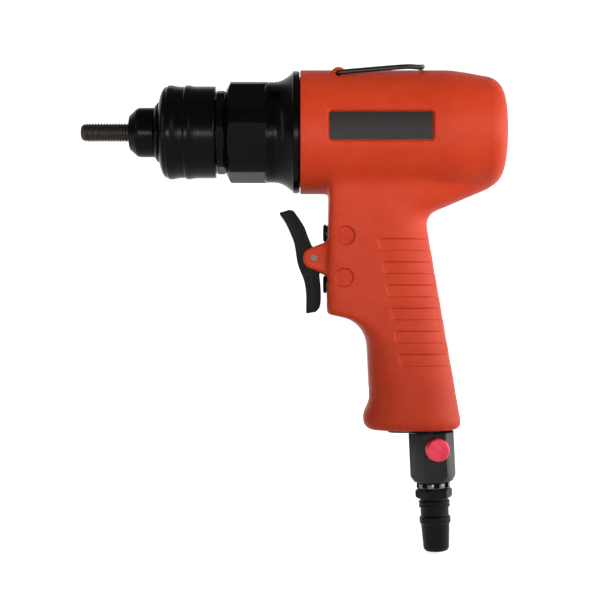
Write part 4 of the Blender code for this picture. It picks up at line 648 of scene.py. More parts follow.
def flatted_lock_ring():
    profile = [
        (LOCK_RING_START, 0), (LOCK_RING_START, 17.5), (58.9, 17.9), (61.6, 17.9), (LOCK_RING_END, 17.5),
        (LOCK_RING_END, 0),
    ]
    ring = mill_flats(lathe(profile, 0, ring=False), LOCK_RING_FLATS, FLAT_TURN)
    thing = shown(soften(ring, 0.12, 12), "flatted_lock_ring")
    carve(thing, rod((57, 0, 0), (64, 0, 0), SPIGOT_RADIUS + 0.3, 96))
    thing.data.set_sharp_from_angle(angle=math.radians(FLAT_SHARP_ANGLE))
    dress(thing, BLACK, "blackened_steel", "housing", "lock_ring")


def case_rear():
    """Outline of the gear case behind its flats: turned ridges, the flare, the flange and the tail."""
    ridges = []
    for start in (80.4, 81.5, 82.6):
        ridges += [(start, CASE_RADIUS), (start + 0.15, 21.4)]
        ridges += [(start + 0.45, 21.4), (start + 0.6, CASE_RADIUS)]
    flare = []
    for step in range(25):
        share = step / 24
        x = CASE_FLARE + (CASE_FLANGE - CASE_FLARE) * share
        flare.append((x, CASE_RADIUS + (FLANGE_RADIUS - 0.5 - CASE_RADIUS) * share**1.7))
    return [
        (79.0, 0), (79.0, 21.2), (79.9, CASE_RADIUS),
        *ridges,
        *flare,
        (91.05, 26.05), (91.5, FLANGE_RADIUS), (93.3, FLANGE_RADIUS), (CASE_END, 25.7), (CASE_END, 23.7),
        (99.0, 23.7), (99.0, 21.1), (CASE_END, 21.1), (CASE_END, 0),
    ]


def machined_gear_case():
    """Six flats for a spanner, two pin spanner holes, turned ridges and the flange."""
    front = [
        (CASE_START, 0), (CASE_START, 17.9), (62.7, 18.9), (64.4, CASE_RADIUS),
        (CASE_FLATS_END, CASE_RADIUS), (CASE_FLATS_END, 0),
    ]
    milled = soften(mill_flats(lathe(front, 0, ring=False), CASE_FLATS, FLAT_TURN), 0.15, 15)
    thing = shown(milled, "machined_gear_case")
    carve(thing, lathe(case_rear(), 0.0, ring=False), "UNION")
    spigot = [(46.5, 0), (46.5, SPIGOT_RADIUS), (63.0, SPIGOT_RADIUS), (63.0, 0)]
    carve(thing, lathe(spigot, 0.3, ring=False), "UNION")
    room = [(40, 0), (40, 7.2), (64.2, 7.2), (64.2, 11.3), (70.8, 11.3), (70.8, 16.2), (100, 16.2), (100, 0)]
    carve(thing, lathe(room, 0, 96, ring=False))
    holes = []
    for turn in (38, 218):
        angle = math.radians(turn)
        outward = Vector((0, -math.cos(angle), math.sin(angle)))
        foot = Vector((83.2, 0, 0))
        holes.append(rod(foot + outward * 19.1, foot + outward * 28.0, 2.8))
    carve(thing, merged(*holes))
    thing.data.set_sharp_from_angle(angle=math.radians(FLAT_SHARP_ANGLE))
    dress(thing, BLACK, "blackened_steel", "housing", "gear_case")


# Housing


def foot_share(z):
    """How far the foot has flared at a height, on a smooth ramp from 0 to 1."""
    top = HANDLE_BOTTOM + FOOT_BASE + FOOT_HEIGHT
    share = min(1.0, max(0.0, (top - z) / FOOT_HEIGHT))
    return share * share * (3 - 2 * share)


def raked_line(z):
    return SADDLE_X + math.tan(HANDLE_RAKE) * (SADDLE_HEIGHT - z)


def rear_edge(z):
    """X of the handle's back: the raked line, the saddle for the hand, and the web up to the barrel."""
    if z <= SADDLE_HEIGHT:
        return raked_line(z)
    centre_x = SADDLE_X + SADDLE_ROUND * math.cos(HANDLE_RAKE)
    centre_z = SADDLE_HEIGHT + SADDLE_ROUND * math.sin(HANDLE_RAKE)
    web_z = centre_z + SADDLE_ROUND * math.cos(WEB_SLOPE)
    if z <= web_z:
        return centre_x - math.sqrt(max(0.0, SADDLE_ROUND**2 - (z - centre_z) ** 2))
    web_x = centre_x - SADDLE_ROUND * math.sin(WEB_SLOPE)
    return min(web_x + (z - web_z) / math.tan(WEB_SLOPE), HOUSING_END - WEB_END)


def handle_front(z):
    return HANDLE_FRONT + HANDLE_FRONT_SLOPE * (BLOCK_BOTTOM - z)


def shelf_round():
    """Centre and upper end of the round under the trigger block."""
    centre_x = handle_front(BLOCK_BOTTOM - SHELF_ROUND) - SHELF_ROUND
    top_x = centre_x + SHELF_ROUND * math.sin(BLOCK_SHELF)
    top_z = BLOCK_BOTTOM - math.tan(BLOCK_SHELF) * (top_x - BLOCK_FACE)
    return centre_x, top_z - SHELF_ROUND * math.cos(BLOCK_SHELF), top_z


def front_edge(z):
    """X of the handle's front: the trigger block, its shelf, the round below it, and the handle."""
    centre_x, centre_z, top_z = shelf_round()
    if z >= BLOCK_BOTTOM:
        return BLOCK_FACE + BLOCK_LEAN * max(0.0, z - PIN_HEIGHT)
    if z >= top_z:
        return BLOCK_FACE + (BLOCK_BOTTOM - z) / math.tan(BLOCK_SHELF)
    if z >= centre_z:
        return centre_x + math.sqrt(SHELF_ROUND**2 - (z - centre_z) ** 2)
    return handle_front(z) - FOOT_FLARE * foot_share(z)


def half_width(z):
    """Half the handle's width, with a fillet up into the round barrel."""
    side = HANDLE_WIDTH / 2 + FOOT_SIDE_FLARE * foot_share(z)
    centre_y = HANDLE_WIDTH / 2 + BARREL_FILLET
    centre_z = -math.sqrt((BARREL_RADIUS + BARREL_FILLET) ** 2 - centre_y**2)
    top_z = centre_z * BARREL_RADIUS / (BARREL_RADIUS + BARREL_FILLET)
    if z <= centre_z:
        return side
    rise = min(z, top_z) - centre_z
    return centre_y - math.sqrt(BARREL_FILLET**2 - rise**2)


def front_squareness(z):
    """The block is nearly square in section, and softens into the round grip below it."""
    soft_top = BLOCK_BOTTOM + BLOCK_SOFTENING
    blend = min(1.0, max(0.0, (soft_top - z) / (soft_top - shelf_round()[1])))
    return BLOCK_SQUARENESS + (HANDLE_SQUARENESS - BLOCK_SQUARENESS) * blend


def section_point(z, angle, inset=0.0):
    """A point of the handle's outline at a height. Angle 0 faces the rear, 90 degrees the far side."""
    low = z - HANDLE_BOTTOM
    if low < BOTTOM_ROUND:
        fall = BOTTOM_ROUND - low
        inset += BOTTOM_ROUND - math.sqrt(max(0.0, BOTTOM_ROUND**2 - fall**2))
    middle = raked_line(z) - HANDLE_MIDDLE
    across = math.cos(angle)
    if across > 0:
        reach, power = rear_edge(z) - middle - inset, REAR_SQUARENESS
    else:
        reach, power = middle - front_edge(z) - inset, front_squareness(z)
    side = half_width(z) - inset
    x = middle + math.copysign(reach * abs(across) ** (2 / power), across)
    y = math.copysign(side * abs(math.sin(angle)) ** (2 / power), math.sin(angle))
    return Vector((x, y, z)) * MM


def angle_at(z, x):
    """The outline angle at which the handle's side passes an X."""
    middle = raked_line(z) - HANDLE_MIDDLE
    if x > middle:
        reach, power = rear_edge(z) - middle, REAR_SQUARENESS
    else:
        reach, power = middle - front_edge(z), front_squareness(z)
    share = min(1.0, abs(x - middle) / reach) ** (power / 2)
    return math.acos(math.copysign(share, x - middle))


def section_heights():
    """Heights of the handle's sections from inside the barrel down to the foot."""
    centre_z = SADDLE_HEIGHT + SADDLE_ROUND * math.sin(HANDLE_RAKE)
    web_z = centre_z + SADDLE_ROUND * math.cos(WEB_SLOPE)
    _, shelf_z, shelf_top = shelf_round()
    marks = [
        (-14.5, 0), (web_z, 18), (SADDLE_HEIGHT, 12), (BLOCK_BOTTOM, 10), (shelf_top, 8), (shelf_z, 16),
        (HANDLE_BOTTOM + FOOT_BASE + FOOT_HEIGHT, 8), (HANDLE_BOTTOM + FOOT_BASE, 8),
        (HANDLE_BOTTOM + BOTTOM_ROUND, 2),
    ]
    heights = [marks[0][0]]
    for (start, _), (end, steps) in zip(marks, marks[1:]):
        heights += [start + (end - start) * k / steps for k in range(1, steps + 1)]
    for angle in (15, 30, 45, 60, 75, 90):
        heights.append(HANDLE_BOTTOM + BOTTOM_ROUND * (1 - math.sin(math.radians(angle))))
    return heights


def loft_handle():
    """Handle, trigger block and web, lofted through its sections."""
    shape = bmesh.new()
    rings = []
    for height in section_heights():
        ring = bmesh.ops.create_circle(shape, segments=SECTION_POINTS, radius=1.0)["verts"]
        for point in ring:
            point.co = section_point(height, math.atan2(point.co.y, point.co.x))
        rings.append({edge for point in ring for edge in point.link_edges})
    for upper, lower in zip(rings, rings[1:]):
        bmesh.ops.bridge_loops(shape, edges=[*upper, *lower])
    bmesh.ops.holes_fill(shape, edges=[*rings[0], *rings[-1]], sides=0)
    bmesh.ops.recalc_face_normals(shape, faces=shape.faces)
    return shape


def barrel_blank():
    """Barrel outside, a little long at the mouth, which is faced off later."""
    taper_x = MOUTH + BARREL_STRAIGHT
    round_x = HOUSING_END - BARREL_END_ROUND - 0.03
    drop = BARREL_RADIUS - BARREL_REAR_RADIUS
    line = [(MOUTH - 2.5, 0), (MOUTH - 2.5, BARREL_RADIUS), (taper_x - 8, BARREL_RADIUS)]
    for step in range(9):
        share = step / 9
        line.append((taper_x + (round_x - taper_x) * share, BARREL_RADIUS - drop * share**1.4))
    for step in range(13):
        angle = math.radians(90 - 7.5 * step)
        along = round_x + BARREL_END_ROUND * math.cos(angle)
        line.append((along, BARREL_REAR_RADIUS - BARREL_END_ROUND + BARREL_END_ROUND * math.sin(angle)))
    line.append((HOUSING_END - 0.03, 0))
    return lathe(line, 0, 160, ring=False)


def trigger_ear(side):
    """One of the two ears that carry the trigger's pin."""
    turns = [math.radians(degrees) for degrees in range(100, 261, 8)]
    nose = [(PIN_X + EAR_RADIUS * math.cos(t), PIN_HEIGHT + EAR_RADIUS * math.sin(t)) for t in turns]
    outline = [*nose, (BLOCK_FACE + 3, PIN_HEIGHT - 8.4), (BLOCK_FACE + 3, PIN_HEIGHT + 8.4)]
    low, high = (EAR_INNER, EAR_OUTER) if side > 0 else (-EAR_OUTER, -EAR_INNER)
    return pushed(outline, low, high)


def pad_cutter(index):
    """A sunk grip pad around the back of the handle: a shell with sloped walls and ramped front ends."""
    middle_z = PAD_TOP - PAD_HEIGHT / 2 - PAD_PITCH * index
    half = PAD_HEIGHT / 2
    stations = [(0.0, 1.0, -0.03, 0.8), (0.35, 1.0, 0.25, 0.9), (1.2, 1.0, 1.0, 1.0)]
    stations += [(1.2 + 1.5 * k, 1.0, 1.0, 1.0) for k in range(1, 9)]
    stations += [(13.2, 1 - k / 14, 1.0, 1.0) for k in range(1, 14)]
    path = [(1, *station) for station in stations] + [(1, 13.2, 0.0, 1.0, 1.0)]
    path += [(-1, *station) for station in reversed(stations)]
    shape = bmesh.new()
    rings = []
    for side, along, share, sunk, tall in path:
        across = abs(math.sin(share * angle_at(middle_z, rear_edge(middle_z) - PAD_REACH + along)))
        depth = sunk * (0.04 + (PAD_DEPTH - 0.04) * across)
        corners = (
            (tall * half + 0.3, -1.0), (tall * half + 0.02, -0.02), (tall * half - 0.6, depth),
            (-tall * half + 0.36, depth), (-tall * half - 0.02, -0.02), (-tall * half - 0.3, -1.0),
        )
        ring = []
        for rise, inset in corners:
            z = middle_z + rise
            angle = side * share * angle_at(z, rear_edge(z) - PAD_REACH + along)
            ring.append(shape.verts.new(section_point(z, angle, inset)))
        rings.append([shape.edges.new(pair) for pair in zip(ring, ring[1:] + ring[:1])])
    for near, far in zip(rings, rings[1:]):
        bmesh.ops.bridge_loops(shape, edges=near + far)
    bmesh.ops.holes_fill(shape, edges=rings[0] + rings[-1], sides=0)
    bmesh.ops.recalc_face_normals(shape, faces=shape.faces)
    return shape


def wrapped_panel(start, end, width, levels, round_off):
    """A round-cornered panel wrapped on the near side of the barrel. Each level is a radius and a growth."""
    flat = [(start, -width / 2), (end, -width / 2), (end, width / 2), (start, width / 2)]
    shape = bmesh.new()
    corners = [shape.verts.new((x * MM, 0, z * MM)) for x, z in rounded(flat, round_off, 6)]
    shape.faces.new(corners)
    for band in range(1, PANEL_BANDS):
        plane = {"plane_co": (0, 0, (-width / 2 + width * band / PANEL_BANDS) * MM), "plane_no": (0, 0, 1)}
        bmesh.ops.bisect_plane(shape, geom=everything(shape), dist=1e-8, **plane)
    layers = [shape.verts[:]]
    top = shape.faces[:]
    for step in range(1, len(levels)):
        grown = bmesh.ops.extrude_face_region(shape, geom=top)
        if step > 1:
            bmesh.ops.delete(shape, geom=top, context="FACES")
        layers.append(of_kind(grown["geom"], BMVert))
        top = of_kind(grown["geom"], BMFace)
    middle = 0.5 * (start + end) * MM
    for layer, (radius, growth) in zip(layers, levels):
        along = 1 + 2 * growth / (end - start)
        around = 1 + 2 * growth / width
        for point in layer:
            angle = around * point.co.z / (BARREL_RADIUS * MM)
            point.co.x = middle + (point.co.x - middle) * along
            point.co.y = -radius * MM * math.cos(angle)
            point.co.z = radius * MM * math.sin(angle)
    bmesh.ops.recalc_face_normals(shape, faces=shape.faces)
    return shape


def mark_recess(x, z):
    """Round recess with a sloped wall, for the letter of a turning direction."""
    dish = [(MARK_FLOOR, 0), (MARK_FLOOR, MARK_RADIUS - 0.6), (15.6, MARK_RADIUS), (18.0, 5.0), (18.0, 0)]
    shape = lathe(dish, 0, 64, ring=False)
    towards_camera = Matrix.Rotation(math.radians(-90), 4, "Z")
    shape.transform(Matrix.Translation((x * MM, 0, z * MM)) @ towards_camera)
    return shape


def direction_letter(sign, x, z):
    """The plain letter of a turning direction, standing on the floor of its round recess."""
    text = bpy.data.curves.new("direction", "FONT")
    text.body = sign
    text.size = LETTER_SIZE * MM
    text.align_x = "CENTER"
    text.align_y = "CENTER"
    text.extrude = LETTER_RISE * MM
    text.bevel_depth = 0.12 * MM
    text.offset = -0.06 * MM
    text.resolution_u = 4
    shape = curve_shape(text)
    upright = Matrix.Rotation(math.radians(90), 4, "X")
    shape.transform(Matrix.Translation((x * MM, -MARK_FLOOR * MM, z * MM)) @ upright)
    return shape


def face_off(shape, x):
    """Faces the mouth off square and rounds its rim."""
    faces = slice_off(shape, (x * MM, 0, 0), (-1, 0, 0))
    bevel(shape, [edge for face in faces for edge in face.edges], MOUTH_ROUND, 3)


def moulded_blank():
    """Barrel, handle, ears and bail boss fused into one softened moulding, with the mouth faced off."""
    side = BAIL_BOSS_SIDE
    ends = [(-side, 0), (-side, BAIL_BOSS_RADIUS), (side, BAIL_BOSS_RADIUS), (side, 0)]
    boss = lathe(ends, 0, 48, ring=False)
    boss.transform(Matrix.Translation((BAIL_X * MM, 0, BAIL_HEIGHT * MM)) @ ACROSS)
    blank = merged(barrel_blank(), loft_handle(), trigger_ear(-1), trigger_ear(1), boss)
    housing = shown(blank, "moulded_housing")
    fuse = housing.modifiers.new("fuse", "REMESH")
    fuse.mode = "VOXEL"
    fuse.voxel_size = MOULD_VOXEL
    settle(housing)
    shape = bmesh.new()
    shape.from_mesh(housing.data)
    for _ in range(MOULD_SMOOTHING):
        axes = {"use_axis_x": True, "use_axis_y": True, "use_axis_z": True}
        bmesh.ops.smooth_vert(shape, verts=shape.verts, factor=0.5, **axes)
    face_off(shape, MOUTH)
    shape.to_mesh(housing.data)
    shape.free()
    return housing


def silencer_pocket():
    return block((10.4, 18, 24), Matrix.Translation((137.1 * MM, 0, (HANDLE_BOTTOM + 8) * MM)))


def moulded_housing():
    """The moulding with its bores, plate pocket, grip pads and direction marks cut."""
    housing = moulded_blank()
    room = [(MOUTH - 1, 0), (MOUTH - 1, 24.0), (99.3, 24.0), (99.3, 21.1), (169.0, 21.1), (169.0, 0)]
    lip = [(24.9, 0), (25.5, 0), (25.9, 0.15), (26.5, 0.8), (27.4, 2.2)]
    carve(housing, wrapped_panel(105.85, 149.05, 12.7, lip, 1.8))
    cutters = [lathe(room, 0, 96, ring=False), silencer_pocket()]
    cutters += [pad_cutter(index) for index in range(PAD_COUNT)]
    cutters += [mark_recess(x, z) for x, z in MARKS.values()]
    for height in VALVE_HEIGHTS.values():
        cutters.append(rod((95, 0, height), (116.9, 0, height), VALVE_BORE))
    cutters.append(rod((PIN_X, -14, PIN_HEIGHT), (PIN_X, 14, PIN_HEIGHT), PIN_RADIUS + 0.03))
    for side in (-1, 1):
        start, end = (BAIL_X, side * 9.9, BAIL_HEIGHT), (BAIL_X, side * 16, BAIL_HEIGHT)
        cutters.append(rod(start, end, BAIL_WIRE + 0.3, 24))
    inlet_hole = lathe([(-12.3, 0), (-12.3, 7.0), (4, 7.0), (4, 0)], 0, 64, ring=False)
    inlet_hole.transform(DOWN_INLET)
    cutters.append(inlet_hole)
    carve(housing, merged(*cutters))
    letters = merged(*(direction_letter(sign, x, z) for sign, (x, z) in MARKS.items()))
    shape = bmesh.new()
    shape.from_mesh(housing.data)
    shape = merged(shape, letters)
    shape.to_mesh(housing.data)
    shape.free()
    smooth(housing.data, 38)
    dress(housing, ORANGE, "orange_moulding", "housing", "housing")


def plate():
    panel = wrapped_panel(106.3, 148.6, 11.8, [(25.3, 0), (25.72, 0), (25.8, -0.08)], 0.7)
    dress(shown(panel, "curved_plate", sharp=20), PLATE, "bare_plate", "housing", "name_plate")


# Trigger and valves


def smooth_run(points, steps):
    """Catmull-Rom points through the given ones, so that a short list makes a smooth line."""
    padded = [Vector(point) for point in (points[0], *points, points[-1])]
    line = []
    for before, start, end, after in zip(padded, padded[1:], padded[2:], padded[3:]):
        slope = 0.5 * (end - before)
        next_slope = 0.5 * (after - start)
        for k in range(steps):
            t = k / steps
            bend = 3 * (end - start) - 2 * slope - next_slope
            twist = slope + next_slope - 2 * (end - start)
            line.append(tuple(start + t * slope + t**2 * bend + t**3 * twist))
    line.append(tuple(points[-1]))
    return line


def rocking_trigger():
    """Curved trigger lever with a hub around its pin."""
    front = [
        (-14.7, 19.4), (-11.9, 15.2), (-9.9, 10.9), (-8.2, 6.2), (-7.0, -1.2), (-5.7, -5.2), (-4.1, -9.3),
        (-3.2, -14.9), (-3.2, -23.5),
    ]
    lower_rear = [(0.9, -22.8), (2.5, -20.9), (3.05, -17.9), (3.0, -12.6), (2.5, -7.5)]
    upper_rear = [
        (-0.9, 5.6), (-2.5, 9.6), (-3.9, 13.3), (-5.7, 16.3), (-7.3, 18.6), (-8.6, 20.2), (-10.4, 20.7),
    ]
    turns = [math.radians(degrees) for degrees in range(-35, 56, 9)]
    hub = [(HUB_RADIUS * math.cos(t), HUB_RADIUS * math.sin(t)) for t in turns]
    outline = smooth_run(front, 5) + smooth_run(lower_rear, 4) + hub + smooth_run(upper_rear, 4)
    lever = pushed([(PIN_X + x, PIN_HEIGHT + z) for x, z in outline], -7.0, 7.0)
    soften(lever, 0.7, 50, 3)
    thing = shown(lever, "trigger_lever")
    carve(thing, rod((PIN_X, -9, PIN_HEIGHT), (PIN_X, 9, PIN_HEIGHT), PIN_RADIUS + 0.1))
    dress(thing, TRIGGER, "black_moulding", "trigger", "trigger")
    pin = [
        (-11.7, 0), (-11.7, 1.38), (-11.6, PIN_RADIUS), (11.6, PIN_RADIUS), (11.7, 1.38), (11.7, 0),
    ]
    place = Matrix.Translation((PIN_X * MM, 0, PIN_HEIGHT * MM)) @ ACROSS
    rod_piece = shown(lathe(pin, 0.1, 48, ring=False), "pin_rod", place)
    dress(rod_piece, PIN_STEEL, "bright_steel", "housing", "trigger_pin")


def valves():
    """Plungers with a black cap, a collar coloured bronze as a painted warm highlight, a turned waist, and
    their bushes.
    """
    for stage, height in VALVE_HEIGHTS.items():
        place = Matrix.Translation((0, 0, height * MM))
        cap = [(103.9, 0), (103.9, 2.9), (104.15, 3.5), (104.55, 3.8), (105.3, 3.8), (105.3, 0)]
        cap_piece = shown(lathe(cap, 0.15, 64, ring=False), f"{stage}_plunger_cap", place)
        dress(cap_piece, TRIGGER, "blackened_steel", f"{stage}_plunger")
        stem = [
            (105.2, 0), (105.2, 3.3), (105.8, 3.3), (106.0, 3.8), (112.1, 3.8), (112.1, 2.2),
            (119.6, 2.2), (119.6, 3.8), (123.1, 3.8), (123.1, 0),
        ]
        plunger = shown(lathe(stem, 0.15, 64, ring=False), f"{stage}_plunger_rod", place)
        dress(plunger, COLLAR_PAINTED_HIGHLIGHT, "blackened_steel", f"{stage}_plunger", f"{stage}_plunger")
        bush = [(105.9, 4.1), (105.9, 5.8), (116.6, 5.8), (116.6, 4.1)]
        ring = shown(lathe(bush, 0.25, 64), f"{stage}_bush_ring", place)
        dress(ring, BRONZE, "bearing_bronze", "housing", f"{stage}_valve_bush")


# Air inlet


def inlet_group():
    """Hexagon inlet body, red button, bright ring and plug, along the inlet's own axis."""
    blank = [(1.4, 0), (1.4, 10.4), (18.9, 10.4), (22.3, 8.2), (22.3, 0)]
    hexagon = soften(mill_flats(lathe(blank, 0, ring=False), INLET_FLATS, HEXAGON_TURN), 0.14)
    thing = shown(hexagon, "hexagon_inlet_body")
    carve(thing, lathe([(-12.0, 0), (-12.0, 6.7), (2.4, 6.7), (2.4, 0)], 0.3, 96, ring=False), "UNION")
    bore = [(-14.0, 0), (-14.0, 4.0), (12.8, 4.0), (12.8, 5.55), (24.0, 5.55), (24.0, 0)]
    carve(thing, lathe(bore, 0, 96, ring=False))
    thing.data.transform(DOWN_INLET)
    hole = lathe([(-12, 0), (-12, 5.25), (12, 5.25), (12, 0)], 0, 96, ring=False)
    hole.transform(ALONG_SPOOL)
    carve(thing, hole)
    dress(thing, INLET, "dark_plated_steel", "housing", "inlet_body")
    spool = [
        (-12.7, 0), (-12.9, 1.2), (-13.1, 4.2), (-12.9, 4.7), (-12.4, 4.95), (-7.0, 4.95), (-7.0, 3.2),
        (-4.5, 3.2), (-4.5, 4.95), (-3.0, 4.95), (-3.0, 2.8), (3.0, 2.8), (3.0, 4.95), (4.5, 4.95),
        (4.5, 3.2), (7.0, 3.2), (7.0, 4.95), (7.4, 4.95), (7.9, 4.45), (7.9, 0),
    ]
    button = shown(lathe(spool, 0.12, 96, ring=False), "red_slide_button", ALONG_SPOOL, 20)
    dress(button, RED, "red_anodised", "slide_valve", "slide_valve")
    ring = [(22.6, 6.3), (22.6, 6.9), (22.9, 7.2), (24.8, 7.3), (25.1, 7.0), (25.1, 6.3)]
    castle = shown(lathe(ring, 0.1, 96), "bright_ring")
    gaps = []
    for index in range(9):
        angle = math.radians(40 * index + 12)
        place = Matrix.Rotation(angle, 4, "X") @ Matrix.Translation((23.2 * MM, 0, 7.2 * MM))
        gaps.append(block((3.1, 2.5, 3), place))
    carve(castle, merged(*gaps))
    castle.data.transform(DOWN_INLET)
    # The ring's darkened steel colour is a painted dark reflection.
    dress(castle, RING_STEEL_PAINTED_DARK, "bright_steel", "housing", "plug_ring")


def barbed_air_plug():
    """Quick-release plug: hexagon, collar, locking groove, ridge and tapered nose."""
    flats = [(25.4, 0), (25.4, 7.2), (26.2, 8.2), (28.5, 8.2), (29.3, 7.2), (29.3, 0)]
    nut = soften(mill_flats(lathe(flats, 0, ring=False), PLUG_FLATS, 0), 0.2)
    plug = shown(nut, "barbed_air_plug")
    stem = [
        (13.1, 0), (13.1, 5.25), (22.5, 5.25), (22.5, 6.2), (27.0, 6.2), (27.0, 6.0), (30.3, 6.0),
        (30.5, 6.6), (31.6, 6.65), (31.8, 6.45), (32.1, 6.45), (32.3, 6.65), (33.2, 6.65), (33.6, 6.05),
        (36.9, 6.0), (37.4, 6.65), (39.9, 6.65), (40.6, 6.1), (50.9, 5.5), (51.9, 4.9), (52.3, 4.1),
        (52.3, 0),
    ]
    carve(plug, lathe(stem, 0.2, ring=False), "UNION")
    carve(plug, lathe([(10, 0), (10, 2.8), (51.6, 2.8), (53, 3.6), (53, 0)], 0, 64, ring=False))
    plug.data.transform(DOWN_INLET)
    dress(plug, PLUG, "black_moulding", "housing", "air_plug")


def slotted_cover():
    """Thin slotted cover under the handle."""
    low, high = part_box("exhaust_cover")
    half = (high[1] - low[1]) / 2 / MM
    start, end = low[0] / MM, high[0] / MM
    outline = rounded([(start, -half), (end, -half), (end, half), (start, half)], 5.0, 8)
    shape = slab([(x * MM, y * MM, high[2]) for x, y in outline], (0, 0, -COVER_THICKNESS * MM))
    cover = shown(soften(shape, 0.15, 50), "slotted_cover")
    stem = rod((INLET_X, 0, -131), (INLET_X, 0, -127), COVER_STEM_RADIUS, 64)
    slots = []
    for index in range(3):
        x = start + (INLET_X - COVER_STEM_RADIUS - start) * (index + 1) / 4
        slots.append(block((0.9, 11, 4), Matrix.Translation((x * MM, 0, low[2]))))
    carve(cover, merged(stem, *slots))
    dress(cover, BLACK, "blackened_steel", "housing", "exhaust_cover")


# Bail


def wire_bail():
    """Bent wire hanger lying back on the barrel."""
    crown = BARREL_RADIUS + BAIL_WIRE + BAIL_CLEARANCE - BAIL_HEIGHT
    climb = crown - BAIL_SHOULDER
    half = [
        (0, BAIL_BOSS_SIDE - 3.4, 0), (0, BAIL_SIDE - 2.2, 0), (0.5, BAIL_SIDE - 0.5, 0),
        (2.2, BAIL_SIDE, 0.3), (0.45 * BAIL_REACH, BAIL_SIDE, 0.62 * BAIL_SHOULDER),
        (0.78 * BAIL_REACH, BAIL_SIDE - 0.3, BAIL_SHOULDER),
        (0.93 * BAIL_REACH, BAIL_SIDE - 2.4, BAIL_SHOULDER + 0.1 * climb),
        (0.985 * BAIL_REACH, BAIL_SIDE - 6, BAIL_SHOULDER + 0.45 * climb),
        (BAIL_REACH, BAIL_SIDE - 9, BAIL_SHOULDER + 0.78 * climb), (BAIL_REACH, 0, crown),
    ]
    line = smooth_run(half + [(x, -y, z) for x, y, z in reversed(half[:-1])], 6)
    wire = bpy.data.curves.new("bent_wire", "CURVE")
    wire.dimensions = "3D"
    wire.bevel_depth = BAIL_WIRE * MM
    wire.bevel_resolution = 4
    wire.use_fill_caps = True
    spline = wire.splines.new("POLY")
    spline.points.add(len(line) - 1)
    for point, (x, y, z) in zip(spline.points, line):
        point.co = ((BAIL_X + x) * MM, y * MM, (BAIL_HEIGHT + z) * MM, 1)
    shape = curve_shape(wire)
    bmesh.ops.recalc_face_normals(shape, faces=shape.faces)
    dress(shown(shape, "bent_wire_bail"), WIRE, "blackened_steel", "bail", "bail")


# Inner pieces keep their CAD shapes


def inner_finishes():
    """Finishes of the pieces that are seen only when the tool is opened."""
    groups = (
        (BRIGHT, ("drive_bit", "spindle", "input_carrier", "rotor", "motor_cylinder", "spindle_bearing")),
        (BRIGHT, ("rotor_front_bearing", "rotor_rear_bearing", "upper_valve_spring", "lower_valve_spring")),
        (GEAR_STEEL, ("ring_gear", "motor_front_plate", "motor_rear_plate")),
        (GEAR_STEEL, [f"{stage}_planet_{count}" for stage in ("output", "input") for count in (1, 2, 3)]),
        (BRONZE, ("thrust_washer",)),
        (VANE, [f"vane_{count}" for count in range(1, 6)]),
        (RUBBER, ("near_valve_seal", "far_valve_seal")),
        (FELT, ("silencer_felt",)),
    )
    for finish, names in groups:
        for name in names:
            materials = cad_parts[name].data.materials
            materials.clear()
            materials.append(finish)


# Studio


def lamp(name, place, target, width, height, watts, spread=180):
    """A soft area lamp aimed at a point, in metres, that the camera doesn't see."""
    light = bpy.data.lights.new(name, "AREA")
    light.shape = "RECTANGLE"
    light.size = width
    light.size_y = height
    light.energy = watts
    light.spread = math.radians(spread)
    holder = bpy.data.objects.new(name, light)
    holder.location = place
    holder.rotation_euler = (Vector(target) - Vector(place)).to_track_quat("-Z", "Y").to_euler()
    holder.visible_camera = False
    bpy.context.collection.objects.link(holder)


def surround(tree):
    """A dim even surround as light, that the camera sees as white beyond the sweep."""
    dim = tree.nodes["Background"]
    dim.inputs["Color"].default_value = (0.96, 0.97, 1.0, 1)
    dim.inputs["Strength"].default_value = 0.18
    white = add_node(tree, "ShaderNodeBackground", {"Color": (1, 1, 1, 1), "Strength": 1.0})
    seen = tree.nodes.new("ShaderNodeLightPath").outputs["Is Camera Ray"]
    pick = add_node(tree, "ShaderNodeMixShader", {0: seen, 1: dim.outputs[0], 2: white.outputs[0]})
    tree.links.new(pick.outputs[0], tree.nodes["World Output"].inputs["Surface"])


def studio():
    """Camera square to the tool's side, and the lamps around the tool."""
    view = bpy.data.cameras.new("camera")
    view.lens = 83.7
    view.sensor_width = 36
    camera = bpy.data.objects.new("camera", view)
    camera.location = (0.094, -0.6, -0.072)
    camera.rotation_euler = (math.radians(90), 0, 0)
    bpy.context.collection.objects.link(camera)
    bpy.context.scene.camera = camera
    middle = (0.1, 0, -0.03)
    lamp("key", (0.5, -0.5, 0.12), (0.11, 0, 0.038), 0.45, 0.3, 0.152, 31)
    lamp("front_panel", (-0.02, -0.95, -0.16), (0.08, 0, 0.02), 0.5, 0.14, 0.225, 30)
    lamp("side_panel", (0.95, -0.08, -0.05), middle, 1.1, 0.8, 9.0)
    lamp("left_strip", (-0.55, -0.45, 0.0), middle, 0.05, 1.0, 1.3)
    lamp("overhead", (0.1, 0.1, 0.9), middle, 0.9, 0.9, 0.05)
    lamp("rear_fill", (0.2, 1.1, 0.05), middle, 1.0, 0.8, 4.0)
    world = bpy.data.worlds.new("studio")
    bpy.context.scene.world = world
    world.use_nodes = True
    surround(world.node_tree)
    bpy.context.scene.view_settings.view_transform = "Standard"


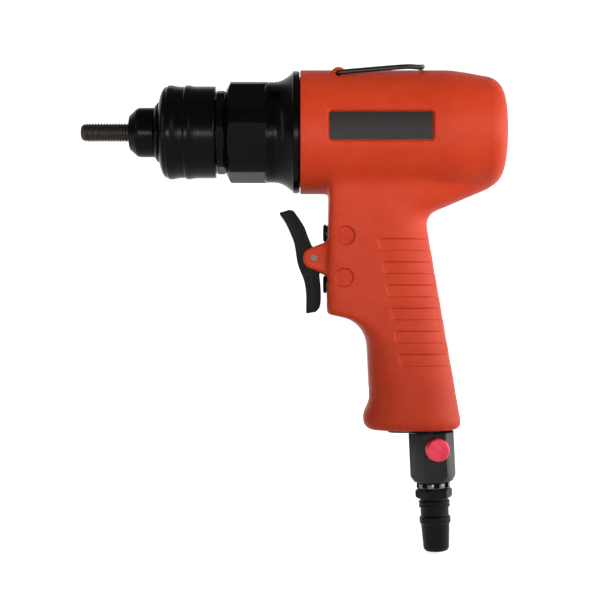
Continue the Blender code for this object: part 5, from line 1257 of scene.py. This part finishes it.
def sweep_paint():
    """White to the eye and in reflections, but only grey as a bounce light, with the shadow kept."""
    paint = bpy.data.materials.new("sweep_white")
    paint.use_nodes = True
    tree = paint.node_tree
    tree.nodes.clear()
    path = tree.nodes.new("ShaderNodeLightPath").outputs
    seen = path["Is Camera Ray"]
    for ray in ("Is Glossy Ray", "Is Transmission Ray"):
        seen = add_node(tree, "ShaderNodeMath", {0: seen, 1: path[ray]}, operation="MAXIMUM").outputs[0]
    place = tree.nodes.new("ShaderNodeTexCoord").outputs["Object"]
    under_tool = (0.1, 0.05, -0.18)
    away = add_node(tree, "ShaderNodeVectorMath", {0: place, 1: under_tool}, operation="DISTANCE")
    reach = {"Value": away.outputs["Value"], "From Min": 0.25, "From Max": 1.1, "To Min": 0.82, "To Max": 1.0}
    rise = add_node(tree, "ShaderNodeMapRange", reach, interpolation_type="SMOOTHSTEP").outputs["Result"]
    strength = add_node(tree, "ShaderNodeMath", {0: seen, 1: rise}, operation="MULTIPLY").outputs[0]
    glow = add_node(tree, "ShaderNodeEmission", {"Strength": strength}).outputs[0]
    shade = add_node(tree, "ShaderNodeMapRange", {"Value": seen, "To Min": 0.45, "To Max": 0.9})
    matt = add_node(tree, "ShaderNodeBsdfDiffuse", {"Color": shade.outputs["Result"]}).outputs[0]
    both = add_node(tree, "ShaderNodeAddShader", {0: matt, 1: glow}).outputs[0]
    add_node(tree, "ShaderNodeOutputMaterial", {"Surface": both})
    return paint


def sweep():
    """Pale floor that curves up into a backdrop."""
    floor_z = -181 * MM
    bend_y, bend_radius = 1.8, 0.8
    line = [(-4.0, floor_z), (bend_y, floor_z)]
    for angle in range(9, 91, 9):
        turn = math.radians(angle)
        line.append((bend_y + bend_radius * math.sin(turn), floor_z + bend_radius * (1 - math.cos(turn))))
    line.append((bend_y + bend_radius, 3.0))
    shape = bmesh.new()
    points = [shape.verts.new((-5.0, y, z)) for y, z in line]
    edges = [shape.edges.new(pair) for pair in zip(points, points[1:])]
    grown = bmesh.ops.extrude_edge_only(shape, edges=edges)
    bmesh.ops.translate(shape, verts=of_kind(grown["geom"], BMVert), vec=(10.2, 0, 0))
    bmesh.ops.recalc_face_normals(shape, faces=shape.faces)
    backdrop = shown(shape, "sweep")
    backdrop.data.materials.append(sweep_paint())


threaded_mandrel()
anvil_and_nut()
banded_sleeve()
flatted_lock_ring()
machined_gear_case()
moulded_housing()
plate()
rocking_trigger()
valves()
inlet_group()
barbed_air_plug()
slotted_cover()
wire_bail()
inner_finishes()
sweep()
studio()
